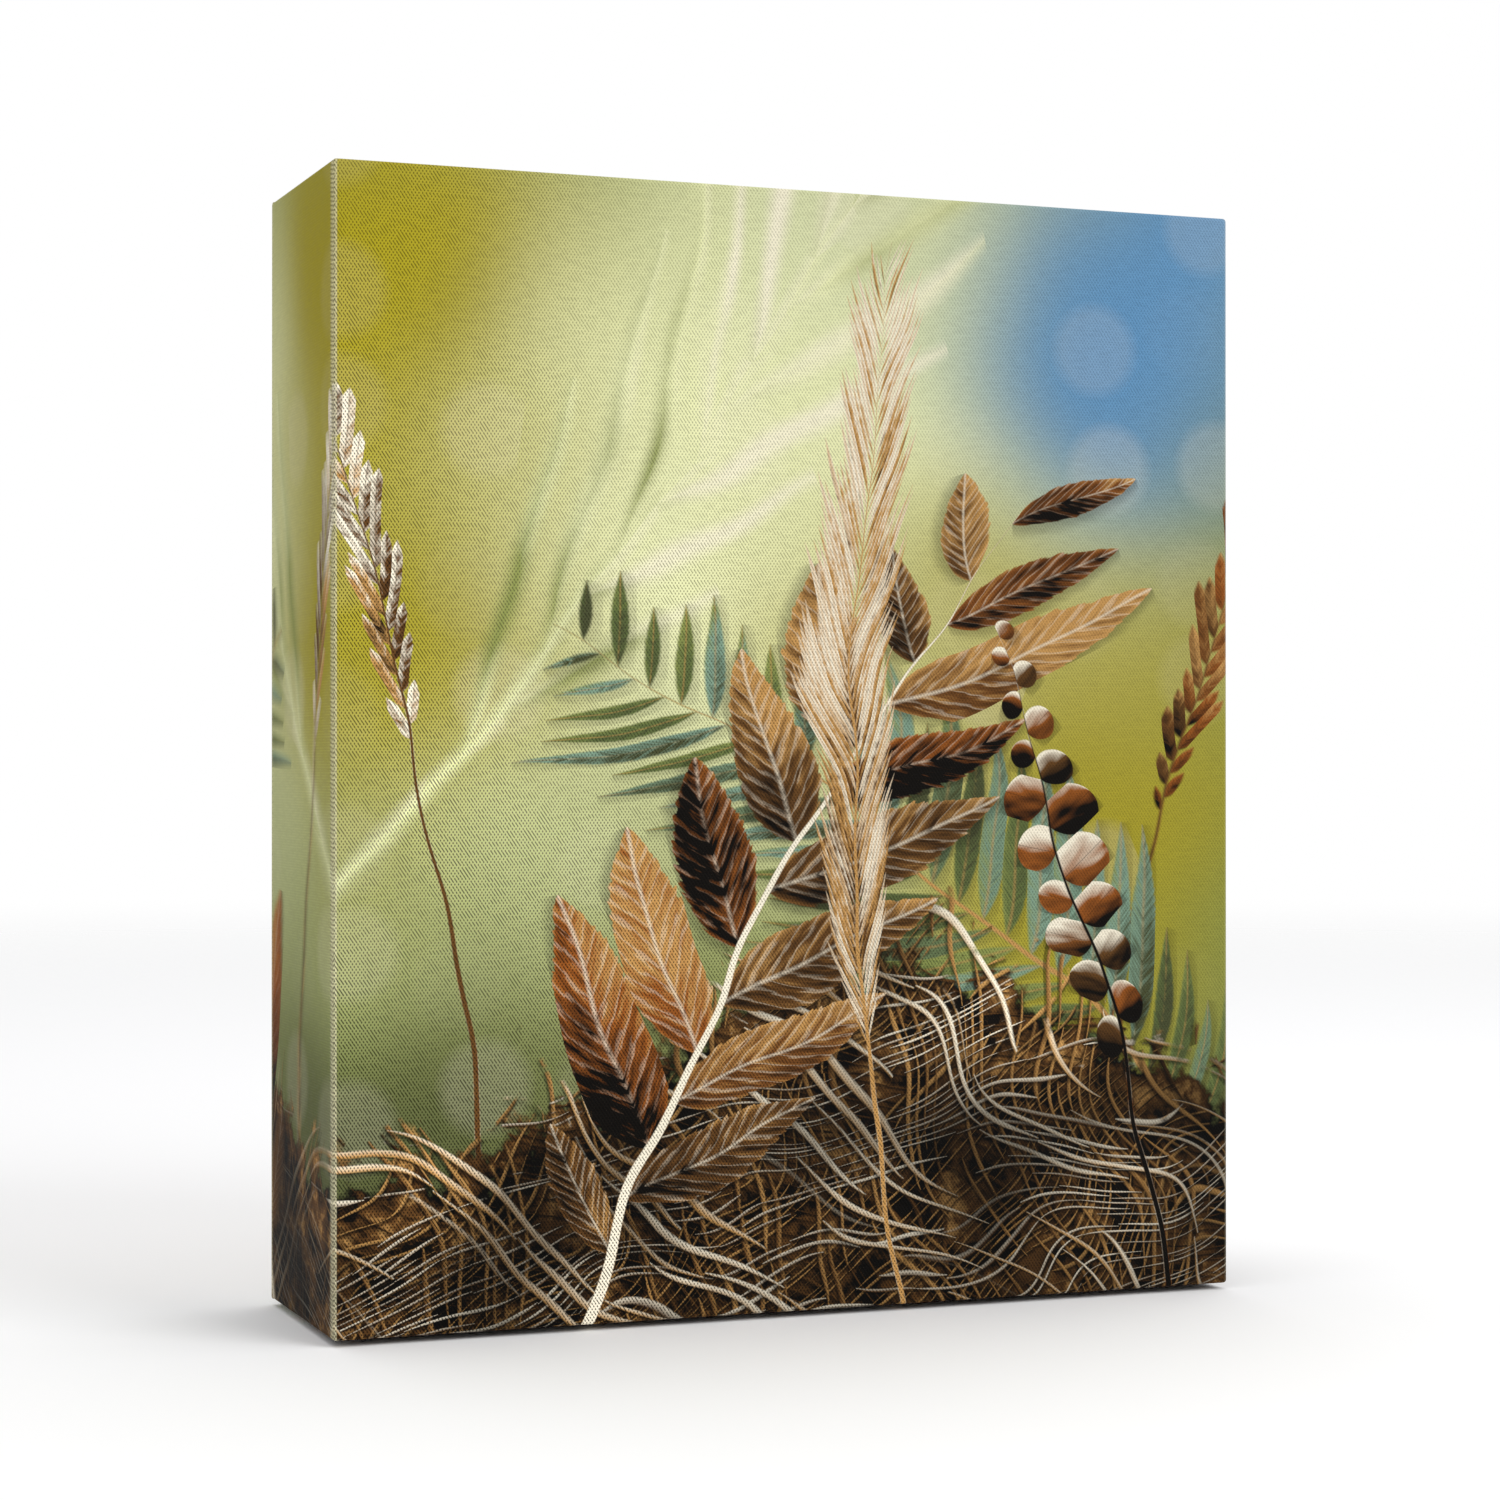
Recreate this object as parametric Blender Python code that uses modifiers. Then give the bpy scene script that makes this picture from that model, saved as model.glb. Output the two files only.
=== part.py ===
"""A small gallery-wrapped canvas print, modelled the way it is made.

One sheet of printed cloth is stretched over four mitred wooden bars, its corners are tucked
under at the top and bottom, and it is stapled behind. A sawtooth hanger is nailed to the top bar.

Metres, +Z up. The picture faces -Y. The origin is below the middle of the block, on the surface
that it stands on. Every piece is parented to one empty at the middle of the block.
"""

import math

import bmesh
import bpy
from mathutils import Matrix, Vector

MM = 0.001

# Driving dimensions of the block: a 6 by 7 inch face on bars 40 mm deep.
FACE_WIDTH = 152.4 * MM
FACE_HEIGHT = 177.8 * MM
BAR_DEPTH = 40.0 * MM
BAR_WIDTH = 30.0 * MM
CLOTH = 0.5 * MM
GAP = 0.3 * MM  # between pieces that touch

# The bar's section.
BAR_ROUND = 1.2 * MM  # rounded outer front edge, under the fold of the cloth
BAR_EASE = 1.0 * MM  # the other long edges are planed off by this much
LIP_WIDTH = 6.0 * MM  # the cloth touches the bar only here
LIP_STEP = 0.8 * MM
LIP_RUN = 2.0 * MM
FRONT_SLOPE = 3.2 * MM  # how far the front falls away by the inner edge

# The cloth.
FOLD_RADIUS = 1.0 * MM
FLAP = 20.0 * MM  # turned over behind
TUCK = 0.8 * MM  # two layers, tucked under the top and bottom sides and pressed
TUCK_INSET = 1.5 * MM
TUCK_FRONT = 6.0 * MM  # from the picture to where the tuck begins to show
BACK_TUCK = 0.8 * MM  # the same corner, pressed flat by its staple
BACK_TUCK_SIDE = 18.0 * MM

# Staples, of flat wire.
STAPLE_CROWN = 10.0 * MM
STAPLE_LEG = 8.0 * MM
STAPLE_WIRE = 0.6 * MM
STAPLE_WIDTH = 1.2 * MM
STAPLE_ROUND = 0.9 * MM
STAPLE_INSET = 10.0 * MM  # from the outer face to the crown
STAPLE_PITCH = 32.0 * MM
STAPLE_TILT = math.radians(3)

# V-nails, which hold the mitres together.
V_NAIL_SIDE = 5.0 * MM
V_NAIL_SHEET = 0.5 * MM
V_NAIL_DEPTH = 10.0 * MM
V_NAIL_SUNK = 0.2 * MM
V_NAIL_INSETS = {"outer": 4.0 * MM, "inner": 22.0 * MM}  # from both outer faces to the bend

# The sawtooth hanger and its two nails.
HANGER_LENGTH = 44.0 * MM
HANGER_HEIGHT = 8.5 * MM
HANGER_SHEET = 0.8 * MM
HANGER_RISE = 1.8 * MM
HANGER_RAISED = 30.0 * MM  # length of the raised middle
HANGER_RAMP = 2.0 * MM
HANGER_ROUND = 2.0 * MM
TOOTH_PITCH = 2.5 * MM
TOOTH_DEPTH = 1.5 * MM
TOOTH_COUNT = 11
HANGER_INSET = 25.6 * MM  # from the top face of the block to the hanger's middle
NAIL_SPREAD = 18.5 * MM  # of each nail from the middle
NAIL_SHANK = 0.6 * MM
NAIL_HEAD = 1.6 * MM
NAIL_HEAD_FLAT = 1.1 * MM
NAIL_HEAD_HEIGHT = 0.6 * MM
NAIL_LENGTH = 9.0 * MM
NAIL_POINT = 1.5 * MM

# Places that follow from the dimensions above. Y runs from the picture to the wall.
SKIN = CLOTH + GAP  # from the outer face of the cloth to the wood
HALF_WIDTH = FACE_WIDTH / 2
HALF_HEIGHT = FACE_HEIGHT / 2
HANGER_STAND = GAP + HANGER_RISE + HANGER_SHEET
TOTAL_DEPTH = SKIN + BAR_DEPTH + HANGER_STAND
FRONT_Y = -TOTAL_DEPTH / 2
WOOD_FRONT_Y = FRONT_Y + SKIN
WOOD_BACK_Y = WOOD_FRONT_Y + BAR_DEPTH
CLOTH_BACK_Y = WOOD_BACK_Y + SKIN
BLOCK_DEPTH = CLOTH_BACK_Y - FRONT_Y
MIDDLE_Z = TUCK + HALF_HEIGHT

ARC_STEPS = 4
FOLD_STEPS = 3
NAIL_STEPS = 16
EPSILON = 1e-6

# Turns about Y that carry the left side to each side of the block.
SIDES = {"left": 0.0, "top": math.pi / 2, "right": math.pi, "bottom": -math.pi / 2}
# Each corner's direction from the middle, in X and Z.
CORNERS = {
    "top_left": (-1, 1),
    "top_right": (1, 1),
    "bottom_right": (1, -1),
    "bottom_left": (-1, -1),
}

PINE = ("pine", (0.62, 0.42, 0.22), 0.65, 0.0)
PRINTED_CLOTH = ("printed_cloth", (0.36, 0.36, 0.16), 0.7, 0.0)
STEEL_WIRE = ("steel_wire", (0.55, 0.55, 0.56), 0.35, 1.0)
STEEL_SHEET = ("steel_sheet", (0.19, 0.20, 0.21), 0.42, 1.0)
ZINC_PLATE = ("zinc_plate", (0.62, 0.60, 0.55), 0.4, 1.0)


def clear_scene():
    for obj in list(bpy.data.objects):
        bpy.data.objects.remove(obj, do_unlink=True)


def new_collection(name):
    collection = bpy.data.collections.new(name)
    bpy.context.scene.collection.children.link(collection)
    return collection


def material(spec):
    """The material of that name, made the first time it is asked for."""
    name, colour, roughness, metallic = spec
    made = bpy.data.materials.get(name)
    if made is None:
        made = bpy.data.materials.new(name)
        made.use_nodes = True
        shader = made.node_tree.nodes["Principled BSDF"]
        shader.inputs["Base Color"].default_value = (*colour, 1.0)
        shader.inputs["Roughness"].default_value = roughness
        shader.inputs["Metallic"].default_value = metallic
    return made


def add_piece(name, mesh, spec, turn_y=0.0, place=(0.0, 0.0, 0.0)):
    """A named piece of the print, in the frame at the middle of the block."""
    obj = bpy.data.objects.new(name, mesh)
    mesh.materials.clear()
    mesh.materials.append(material(spec))
    PIECES.objects.link(obj)
    obj.parent = BLOCK
    obj.location = place
    obj.rotation_euler = (0.0, turn_y, 0.0)
    return obj


def add_helper(name, mesh, turn_y=0.0, place=(0.0, 0.0, 0.0)):
    """A cutter, or a shape to be joined on, which isn't a piece."""
    obj = bpy.data.objects.new(name, mesh)
    HELPERS.objects.link(obj)
    obj.parent = BLOCK
    obj.location = place
    obj.rotation_euler = (0.0, turn_y, 0.0)
    obj.hide_render = True
    obj.display_type = "WIRE"
    return obj


def boolean(obj, other, operation):
    modifier = obj.modifiers.new(f"{operation.lower()}_{other.name}", "BOOLEAN")
    modifier.operation = operation
    modifier.object = other


def arc(centre, radius, start, end, steps=ARC_STEPS):
    """Points from one angle to another, both in degrees."""
    angles = [math.radians(start + (end - start) * i / steps) for i in range(steps + 1)]
    return [(centre[0] + radius * math.cos(a), centre[1] + radius * math.sin(a)) for a in angles]


def prism(name, outline, thickness):
    """A closed mesh of that outline in X and Y, as thick as stated along Z, half on each side."""
    curve = bpy.data.curves.new(name, "CURVE")
    curve.dimensions = "2D"
    curve.fill_mode = "BOTH"
    curve.extrude = thickness / 2
    spline = curve.splines.new("POLY")
    spline.points.add(len(outline) - 1)
    for point, (x, y) in zip(spline.points, outline):
        point.co = (x, y, 0.0, 1.0)
    spline.use_cyclic_u = True
    drawn = bpy.data.objects.new(name, curve)
    HELPERS.objects.link(drawn)
    graph = bpy.context.evaluated_depsgraph_get()
    mesh = bpy.data.meshes.new_from_object(drawn.evaluated_get(graph))
    bpy.data.objects.remove(drawn)
    bpy.data.curves.remove(curve)
    edit = bmesh.new()
    edit.from_mesh(mesh)
    bmesh.ops.remove_doubles(edit, verts=edit.verts, dist=EPSILON)
    bmesh.ops.recalc_face_normals(edit, faces=edit.faces)
    edit.to_mesh(mesh)
    edit.free()
    mesh.name = name
    return mesh


def face_back(mesh):
    """Turns a prism so that its outline lies in X and Z, as seen from the front."""
    mesh.transform(Matrix.Rotation(math.pi / 2, 4, "X"))
    return mesh


def boxes(name, places):
    """One mesh of boxes, each given by a matrix that carries the unit cube to it."""
    edit = bmesh.new()
    for matrix in places:
        bmesh.ops.create_cube(edit, size=1.0, matrix=matrix)
    mesh = bpy.data.meshes.new(name)
    edit.to_mesh(mesh)
    edit.free()
    return mesh


def smooth(mesh, angle=35.0):
    mesh.shade_smooth()
    mesh.set_sharp_from_angle(angle=math.radians(angle))


def bar_section():
    """The section of the left bar: X inwards from its outer side, Y from its front to its back."""
    inner = BAR_WIDTH
    return [
        *arc((BAR_ROUND, BAR_ROUND), BAR_ROUND, 180, 270),
        (LIP_WIDTH, 0.0),
        (LIP_WIDTH + LIP_RUN, LIP_STEP),
        (inner - BAR_EASE, FRONT_SLOPE),
        (inner, FRONT_SLOPE + BAR_EASE),
        (inner, BAR_DEPTH - BAR_EASE),
        (inner - BAR_EASE, BAR_DEPTH),
        (BAR_EASE, BAR_DEPTH),
        (0.0, BAR_DEPTH - BAR_EASE),
    ]


def mitre(mesh, reach, half_length):
    """Cuts both ends of a left-hand bar at 45 degrees, leaving half the joint's gap at each."""
    edit = bmesh.new()
    edit.from_mesh(mesh)
    for end in (1, -1):
        normal = Vector((1, 0, end)).normalized()
        corner = Vector((-reach, 0, end * half_length)) - normal * GAP / 2
        everything = [*edit.verts, *edit.edges, *edit.faces]
        bmesh.ops.bisect_plane(
            edit, geom=everything, plane_co=corner, plane_no=normal, clear_outer=True
        )
        cut = [edge for edge in edit.edges if edge.is_boundary]
        bmesh.ops.holes_fill(edit, edges=cut)
    bmesh.ops.recalc_face_normals(edit, faces=edit.faces)
    edit.to_mesh(mesh)
    edit.free()


def half_sizes(side):
    """For a side of the block: from the middle to its outer face, and to the ends of that face."""
    upright = side in ("left", "right")
    return (HALF_WIDTH, HALF_HEIGHT) if upright else (HALF_HEIGHT, HALF_WIDTH)


def build_bars():
    bars = {}
    for side, turn in SIDES.items():
        reach, half_length = (size - SKIN for size in half_sizes(side))
        mesh = prism(f"bar_{side}", bar_section(), 2 * (half_length + GAP))
        mesh.transform(Matrix.Translation((-reach, WOOD_FRONT_Y, 0.0)))
        mitre(mesh, reach, half_length)
        smooth(mesh)
        bars[side] = add_piece(f"bar_{side}", mesh, PINE, turn)
    return bars


def tray_surface():
    """The outer surface of the cloth: a rounded box whose back is open inside the four flaps."""
    edit = bmesh.new()
    size = Matrix.Diagonal((FACE_WIDTH, BLOCK_DEPTH, FACE_HEIGHT, 1.0))
    middle = Matrix.Translation((0.0, (FRONT_Y + CLOTH_BACK_Y) / 2, 0.0))
    bmesh.ops.create_cube(edit, size=1.0, matrix=middle @ size)
    bmesh.ops.bevel(
        edit,
        geom=edit.edges[:],
        offset=FOLD_RADIUS,
        segments=FOLD_STEPS,
        profile=0.5,
        affect="EDGES",
    )
    edit.normal_update()
    back = max(edit.faces, key=lambda face: face.normal.y * face.calc_area())
    bmesh.ops.inset_individual(edit, faces=[back], thickness=FLAP - FOLD_RADIUS)
    bmesh.ops.delete(edit, geom=[back], context="FACES_ONLY")
    mesh = bpy.data.meshes.new("canvas")
    edit.to_mesh(mesh)
    edit.free()
    return mesh


def side_tuck(corner):
    """The two layers tucked under the top or bottom side at a corner: a right triangle."""
    x_sign, z_sign = CORNERS[corner]
    outer = HALF_WIDTH - TUCK_INSET
    front, back = FRONT_Y + TUCK_FRONT, CLOTH_BACK_Y - TUCK_INSET
    outline = [
        (x_sign * outer, front),
        (x_sign * outer, back),
        (x_sign * (outer - (back - front)), back),
    ]
    mesh = prism(f"side_tuck_{corner}", outline, TUCK + CLOTH / 2)
    height = HALF_HEIGHT + (TUCK - CLOTH / 2) / 2
    return add_helper(f"side_tuck_{corner}", mesh, place=(0.0, 0.0, z_sign * height))


def back_tuck(corner):
    """The same corner where it goes on round the back: a square, pressed flat."""
    x_sign, z_sign = CORNERS[corner]
    half = BACK_TUCK_SIDE / 2
    outline = [(-half, -half), (half, -half), (half, half), (-half, half)]
    mesh = face_back(prism(f"back_tuck_{corner}", outline, BACK_TUCK + CLOTH / 2))
    place = (
        x_sign * (HALF_WIDTH - TUCK_INSET - half),
        CLOTH_BACK_Y + (BACK_TUCK - CLOTH / 2) / 2,
        z_sign * (HALF_HEIGHT - TUCK_INSET - half),
    )
    return add_helper(f"back_tuck_{corner}", mesh, place=place)


def build_canvas():
    canvas = add_piece("canvas", tray_surface(), PRINTED_CLOTH)
    shell = canvas.modifiers.new("cloth", "SOLIDIFY")
    shell.thickness = CLOTH
    shell.offset = -1.0
    shell.use_even_offset = True
    for corner in CORNERS:
        boolean(canvas, side_tuck(corner), "UNION")
        boolean(canvas, back_tuck(corner), "UNION")
    return canvas


def staple_outline():
    """A staple in X and Y: its crown along X with its outer face at Y 0, its legs towards -Y."""
    half, wire = STAPLE_CROWN / 2, STAPLE_WIRE
    right = arc((half - STAPLE_ROUND, -STAPLE_ROUND), STAPLE_ROUND, 90, 0)
    left = arc((STAPLE_ROUND - half, -STAPLE_ROUND), STAPLE_ROUND, 180, 90)
    inside = [
        (half, -STAPLE_LEG),
        (half - wire, -STAPLE_LEG),
        (half - wire, -wire),
        (wire - half, -wire),
        (wire - half, -STAPLE_LEG),
        (-half, -STAPLE_LEG),
    ]
    return [*right, *inside, *left]


def staple_places():
    """Each staple's name, its place on the back in X and Z, its turn, and what lies under it."""
    found = []
    for side, turn in SIDES.items():
        reach = half_sizes(side)[0] - STAPLE_INSET
        count = 4 if side in ("left", "right") else 3
        for i in range(count):
            along = (i - (count - 1) / 2) * STAPLE_PITCH
            spot = Matrix.Rotation(turn, 3, "Y") @ Vector((-reach, 0.0, along))
            tilt = STAPLE_TILT * (-1) ** i
            found.append((f"staple_{side}_{i + 1}", spot.x, spot.z, turn + math.pi / 2 + tilt, 0.0))
    for corner, (x_sign, z_sign) in CORNERS.items():
        inset = TUCK_INSET + BACK_TUCK_SIDE / 2
        x, z = x_sign * (HALF_WIDTH - inset), z_sign * (HALF_HEIGHT - inset)
        # The crown crosses the mitre, so that one leg is in each bar.
        found.append((f"staple_{corner}", x, z, x_sign * z_sign * math.pi / 4, BACK_TUCK))
    return found


def build_staples(targets):
    slots = []
    for name, x, z, turn, under in staple_places():
        crown_y = CLOTH_BACK_Y + under + GAP + STAPLE_WIRE
        mesh = prism(name, staple_outline(), STAPLE_WIDTH)
        smooth(mesh)
        add_piece(name, mesh, STEEL_WIRE, turn, (x, crown_y, z))
        frame = Matrix.Translation((x, crown_y, z)) @ Matrix.Rotation(turn, 4, "Y")
        deep = STAPLE_LEG + GAP
        size = Matrix.Diagonal((STAPLE_WIRE + 2 * GAP, deep, STAPLE_WIDTH + 2 * GAP, 1.0))
        for hand in (1, -1):
            leg = Matrix.Translation((hand * (STAPLE_CROWN - STAPLE_WIRE) / 2, -deep / 2, 0.0))
            slots.append(frame @ leg @ size)
    cutter = add_helper("staple_slots", boxes("staple_slots", slots))
    for target in targets:
        boolean(target, cutter, "DIFFERENCE")


def v_outline(margin):
    """The two sides of a V-nail, along +X and +Y from its bend, grown by a margin."""
    near, thick = -margin, V_NAIL_SHEET + margin
    far = V_NAIL_SIDE + margin
    return [(near, near), (far, near), (far, thick), (thick, thick), (thick, far), (near, far)]


def build_v_nails(bars):
    for corner, (x_sign, z_sign) in CORNERS.items():
        for which, inset in V_NAIL_INSETS.items():
            name = f"v_nail_{corner}_{which}"
            # Each side runs along one bar, away from the corner.
            turned = Matrix.Diagonal((-x_sign, 1.0, -z_sign, 1.0))
            place = Vector((x_sign * (HALF_WIDTH - inset), 0.0, z_sign * (HALF_HEIGHT - inset)))
            meshes = {}
            for margin in (0.0, GAP):
                mesh = face_back(prism(name, v_outline(margin), V_NAIL_DEPTH + 2 * margin))
                mesh.transform(turned)
                if x_sign * z_sign < 0:
                    mesh.flip_normals()
                meshes[margin] = mesh
            place.y = WOOD_BACK_Y - V_NAIL_SUNK - V_NAIL_DEPTH / 2
            add_piece(name, meshes[0.0], STEEL_SHEET, place=place)
            slot = add_helper(f"slot_{name}", meshes[GAP], place=place)
            for side in corner.split("_"):
                boolean(bars[side], slot, "DIFFERENCE")


def hanger_outline():
    """The hanger flattened out, in X and Z, with its teeth along the lower edge."""
    half, tall = HANGER_LENGTH / 2, HANGER_HEIGHT / 2
    bend = HANGER_ROUND
    teeth = []
    first = -TOOTH_COUNT * TOOTH_PITCH / 2
    for i in range(TOOTH_COUNT):
        teeth.append((first + i * TOOTH_PITCH, -tall))
        teeth.append((first + (i + 0.5) * TOOTH_PITCH, TOOTH_DEPTH - tall))
    teeth.append((-first, -tall))
    return [
        *arc((bend - half, bend - tall), bend, 180, 270),
        *teeth,
        *arc((half - bend, bend - tall), bend, 270, 360),
        *arc((half - bend, tall - bend), bend, 0, 90),
        *arc((bend - half, tall - bend), bend, 90, 180),
    ]


def hanger_bend():
    """The hanger from above, in X and Y: flat ends, and a middle raised off the wood."""
    raised, foot = HANGER_RAISED / 2, HANGER_RAISED / 2 + HANGER_RAMP
    end = HANGER_LENGTH / 2 + GAP
    under = [(-end, 0.0), (-foot, 0.0), (-raised, HANGER_RISE)]
    under += [(-x, y) for x, y in reversed(under)]
    over = [(x, y + HANGER_SHEET) for x, y in reversed(under)]
    return under + over


def nail_profile():
    """Half of a nail's outline, from the middle of its head down to its point, in X and Z."""
    return [
        (0.0, 0.0),
        (NAIL_HEAD_FLAT, 0.0),
        (NAIL_HEAD, -NAIL_HEAD_HEIGHT / 2),
        (NAIL_HEAD, -NAIL_HEAD_HEIGHT),
        (NAIL_SHANK, -NAIL_HEAD_HEIGHT),
        (NAIL_SHANK, NAIL_POINT - NAIL_LENGTH),
        (0.0, -NAIL_LENGTH),
    ]


def turned(name, profile):
    """A mesh profile in X and Z, which a Screw modifier turns about Z."""
    mesh = bpy.data.meshes.new(name)
    points = [(x, 0.0, z) for x, z in profile]
    mesh.from_pydata(points, [(i, i + 1) for i in range(len(points) - 1)], [])
    return mesh


def cylinder(name, radius, length):
    """A closed cylinder along Y, centred on the origin."""
    edit = bmesh.new()
    bmesh.ops.create_cone(
        edit, cap_ends=True, segments=NAIL_STEPS, radius1=radius, radius2=radius, depth=length
    )
    mesh = bpy.data.meshes.new(name)
    edit.to_mesh(mesh)
    edit.free()
    mesh.transform(Matrix.Rotation(math.pi / 2, 4, "X"))
    return mesh


def build_hanger(top_bar):
    """The hanger lies on the bare wood below the flap, and two nails go through it into the bar."""
    middle = Vector((0.0, WOOD_BACK_Y + GAP, HALF_HEIGHT - HANGER_INSET))
    reach = 4 * (HANGER_RISE + HANGER_SHEET)
    flat = face_back(prism("hanger", hanger_outline(), reach))
    hanger = add_piece("sawtooth_hanger", flat, ZINC_PLATE, place=middle)
    bent = prism("hanger_bend", hanger_bend(), 2 * HANGER_HEIGHT)
    boolean(hanger, add_helper("hanger_bend", bent, place=middle), "INTERSECT")
    head_y = HANGER_SHEET + GAP + NAIL_HEAD_HEIGHT
    for side, hand in (("left", -1), ("right", 1)):
        spot = middle + Vector((hand * NAIL_SPREAD, head_y, 0.0))
        nail = add_piece(f"hanger_nail_{side}", turned("nail", nail_profile()), ZINC_PLATE, place=spot)
        nail.rotation_euler = (-math.pi / 2, 0.0, 0.0)
        screw = nail.modifiers.new("turn", "SCREW")
        screw.steps = screw.render_steps = NAIL_STEPS
        screw.use_merge_vertices = True
        screw.merge_threshold = EPSILON
        hole_depth = 2 * (NAIL_LENGTH + GAP)
        hole_mesh = cylinder(f"nail_hole_{side}", NAIL_SHANK + GAP, hole_depth)
        hole = add_helper(f"nail_hole_{side}", hole_mesh, place=spot)
        boolean(hanger, hole, "DIFFERENCE")
        boolean(top_bar, hole, "DIFFERENCE")


def main():
    bars = build_bars()
    build_v_nails(bars)
    canvas = build_canvas()
    build_staples([canvas, *bars.values()])
    build_hanger(bars["top"])


clear_scene()
PIECES = new_collection("canvas_print")
HELPERS = new_collection("helpers")
BLOCK = bpy.data.objects.new("middle_of_block", None)
BLOCK.location = (0.0, 0.0, MIDDLE_Z)
PIECES.objects.link(BLOCK)
main()
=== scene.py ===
"""A small gallery-wrapped canvas print: the look of its cloth, its printed picture, its wooden
bars and its fittings, and the studio that it is shown in.

The file is laid out as an add-on and is run as a script. Metres, +Z up, the picture faces -Y.
"""

import math

import bpy
import numpy as np
from bpy.props import FloatProperty, FloatVectorProperty, PointerProperty
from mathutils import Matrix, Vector


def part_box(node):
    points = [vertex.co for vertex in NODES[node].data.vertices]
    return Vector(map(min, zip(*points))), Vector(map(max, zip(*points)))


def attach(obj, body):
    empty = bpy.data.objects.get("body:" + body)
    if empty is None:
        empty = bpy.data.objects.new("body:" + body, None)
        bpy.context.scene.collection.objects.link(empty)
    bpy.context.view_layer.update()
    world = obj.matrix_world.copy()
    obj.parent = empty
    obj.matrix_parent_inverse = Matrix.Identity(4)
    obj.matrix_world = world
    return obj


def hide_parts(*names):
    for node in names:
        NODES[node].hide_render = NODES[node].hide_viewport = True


bl_info = {
    "name": "Stretched canvas print",
    "version": (1, 0, 0),
    "blender": (4, 5, 0),
    "location": "View3D > Sidebar > Canvas print",
    "description": "Builds the look of a small gallery-wrapped canvas print",
    "category": "Object",
}

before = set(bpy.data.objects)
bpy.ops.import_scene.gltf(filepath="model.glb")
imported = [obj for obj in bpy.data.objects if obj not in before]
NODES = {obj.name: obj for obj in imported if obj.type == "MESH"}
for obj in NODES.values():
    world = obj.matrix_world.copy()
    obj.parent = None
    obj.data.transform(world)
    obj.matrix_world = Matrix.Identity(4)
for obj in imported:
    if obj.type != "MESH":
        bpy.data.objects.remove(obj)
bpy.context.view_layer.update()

MM = 0.001
TINY = 0.001 * MM  # what counts as touching
HAIR = 0.1 * MM  # what counts as on the cut edge

# The cloth's mesh: its lines near a fold, its lines elsewhere, and how wide a step is at the edge
# of the layers that are tucked under, which start this far in from the side.
FINE, COARSE = 1.2 * MM, 3.0 * MM
STEP = 0.25 * MM
TUCK_START = 1.4 * MM

# Behind: half the length of a staple's crown, how wide and how deep it dips the flap, and how far
# the flap stands off the wood between staples.
HALF_CROWN, DIP_WIDTH, DIP, STAND_OFF = 5 * MM, 2.2 * MM, 0.28 * MM, 0.30 * MM

# How far inside a flap's cut edge a loose thread starts, and how near the corners they come.
THREAD_ROOT, END_GAP = 0.6 * MM, 1.5 * MM


def linear(hex_code):
    """An sRGB colour written as a hex value, as the linear numbers that shaders use."""
    parts = [int(hex_code[i : i + 2], 16) / 255 for i in (1, 3, 5)]
    return tuple(c / 12.92 if c <= 0.04045 else ((c + 0.055) / 1.055) ** 2.4 for c in parts)


def length(name, description, default):
    return FloatProperty(
        name=name, description=description, default=default, min=0.0, unit="LENGTH", precision=5
    )


def amount(name, description, default, unit="NONE"):
    return FloatProperty(name=name, description=description, default=default, min=0.0, unit=unit)


def tint(name, description, hex_code):
    return FloatVectorProperty(
        name=name, description=description, default=linear(hex_code), subtype="COLOR", min=0, max=1
    )


class ClothSettings(bpy.types.PropertyGroup):
    thickness: length("Thickness", "Thickness of the cloth", 0.45 * MM)
    fold_radius: length("Fold radius", "Radius of the cloth round the bars' edges", 0.6 * MM)
    flap: length("Flap", "Width of the flap turned over behind", 20 * MM)
    tuck: length("Tuck", "How much the layers tucked under at a corner stand up", 0.8 * MM)
    slack: length("Slack", "How far the front wanders from flat", 0.08 * MM)
    dot_pitch: length("Dot pitch", "Between the pits of the weave, along a thread", 0.57 * MM)
    row_pitch: length("Row pitch", "Between rows of pits, each half a pitch along", 0.42 * MM)
    pits: amount("Pits", "How dark the pits of the weave are", 1.25)
    crack_pitch: length("Crack pitch", "Between the threads that show on a worn fold", 0.68 * MM)
    # The pale band along the front folds is partly cracked ink and partly a painted highlight of
    # the rounded fold. It reaches this far in and this far round.
    fold_band_in: length("Wear", "How far in from a front fold the ink is cracked", 0.5 * MM)
    fold_band_round: length("Wear beside", "How far round a front fold the cracks go", 2.1 * MM)
    ink: amount("Ink", "Share of the light that the print gives back", 0.80)
    bleed: length("Bleed", "How far the printing goes on round the back", 7 * MM)
    white: tint("White", "The bare white coating of the cloth", "#ece9df")
    # Colour of that pale band: coating seen through cracked ink, and painted highlight.
    cracked_ink_and_highlight: tint("Thin ink", "Coating that shows through worn ink", "#e0d9b4")
    raw: tint("Raw cotton", "The uncoated back of the cloth", "#ddd2b8")
    husk: tint("Seed husk", "Specks in the raw cotton", "#8b6f4a")


class PrintSettings(bpy.types.PropertyGroup):
    pale: tint("Pale", "Palest part of the soft background", "#e9ebb6")
    green: tint("Green", "Main green of the soft background", "#88914e")
    yellow: tint("Yellow", "Yellow glow in the soft background", "#a7991a")
    shade: tint("Shade", "Darkest green of the soft background", "#484c30")
    moss: tint("Moss", "Darker green of leaves", "#5d6a3c")
    sky: tint("Sky", "Blue of the soft background", "#6394bd")
    bark: tint("Bark", "Near-black brown of stems and shadows", "#0b0704")
    brown: tint("Brown", "Middle brown of leaves", "#63421f")
    rust: tint("Rust", "Reddish brown of leaves and berries", "#93531f")
    tan: tint("Tan", "Light brown of leaves and seed heads", "#c29355")
    cream: tint("Cream", "Palest parts of grasses and veins", "#f8efd8")
    teal: tint("Teal", "Cool glints on leaves", "#7f9d88")


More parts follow.
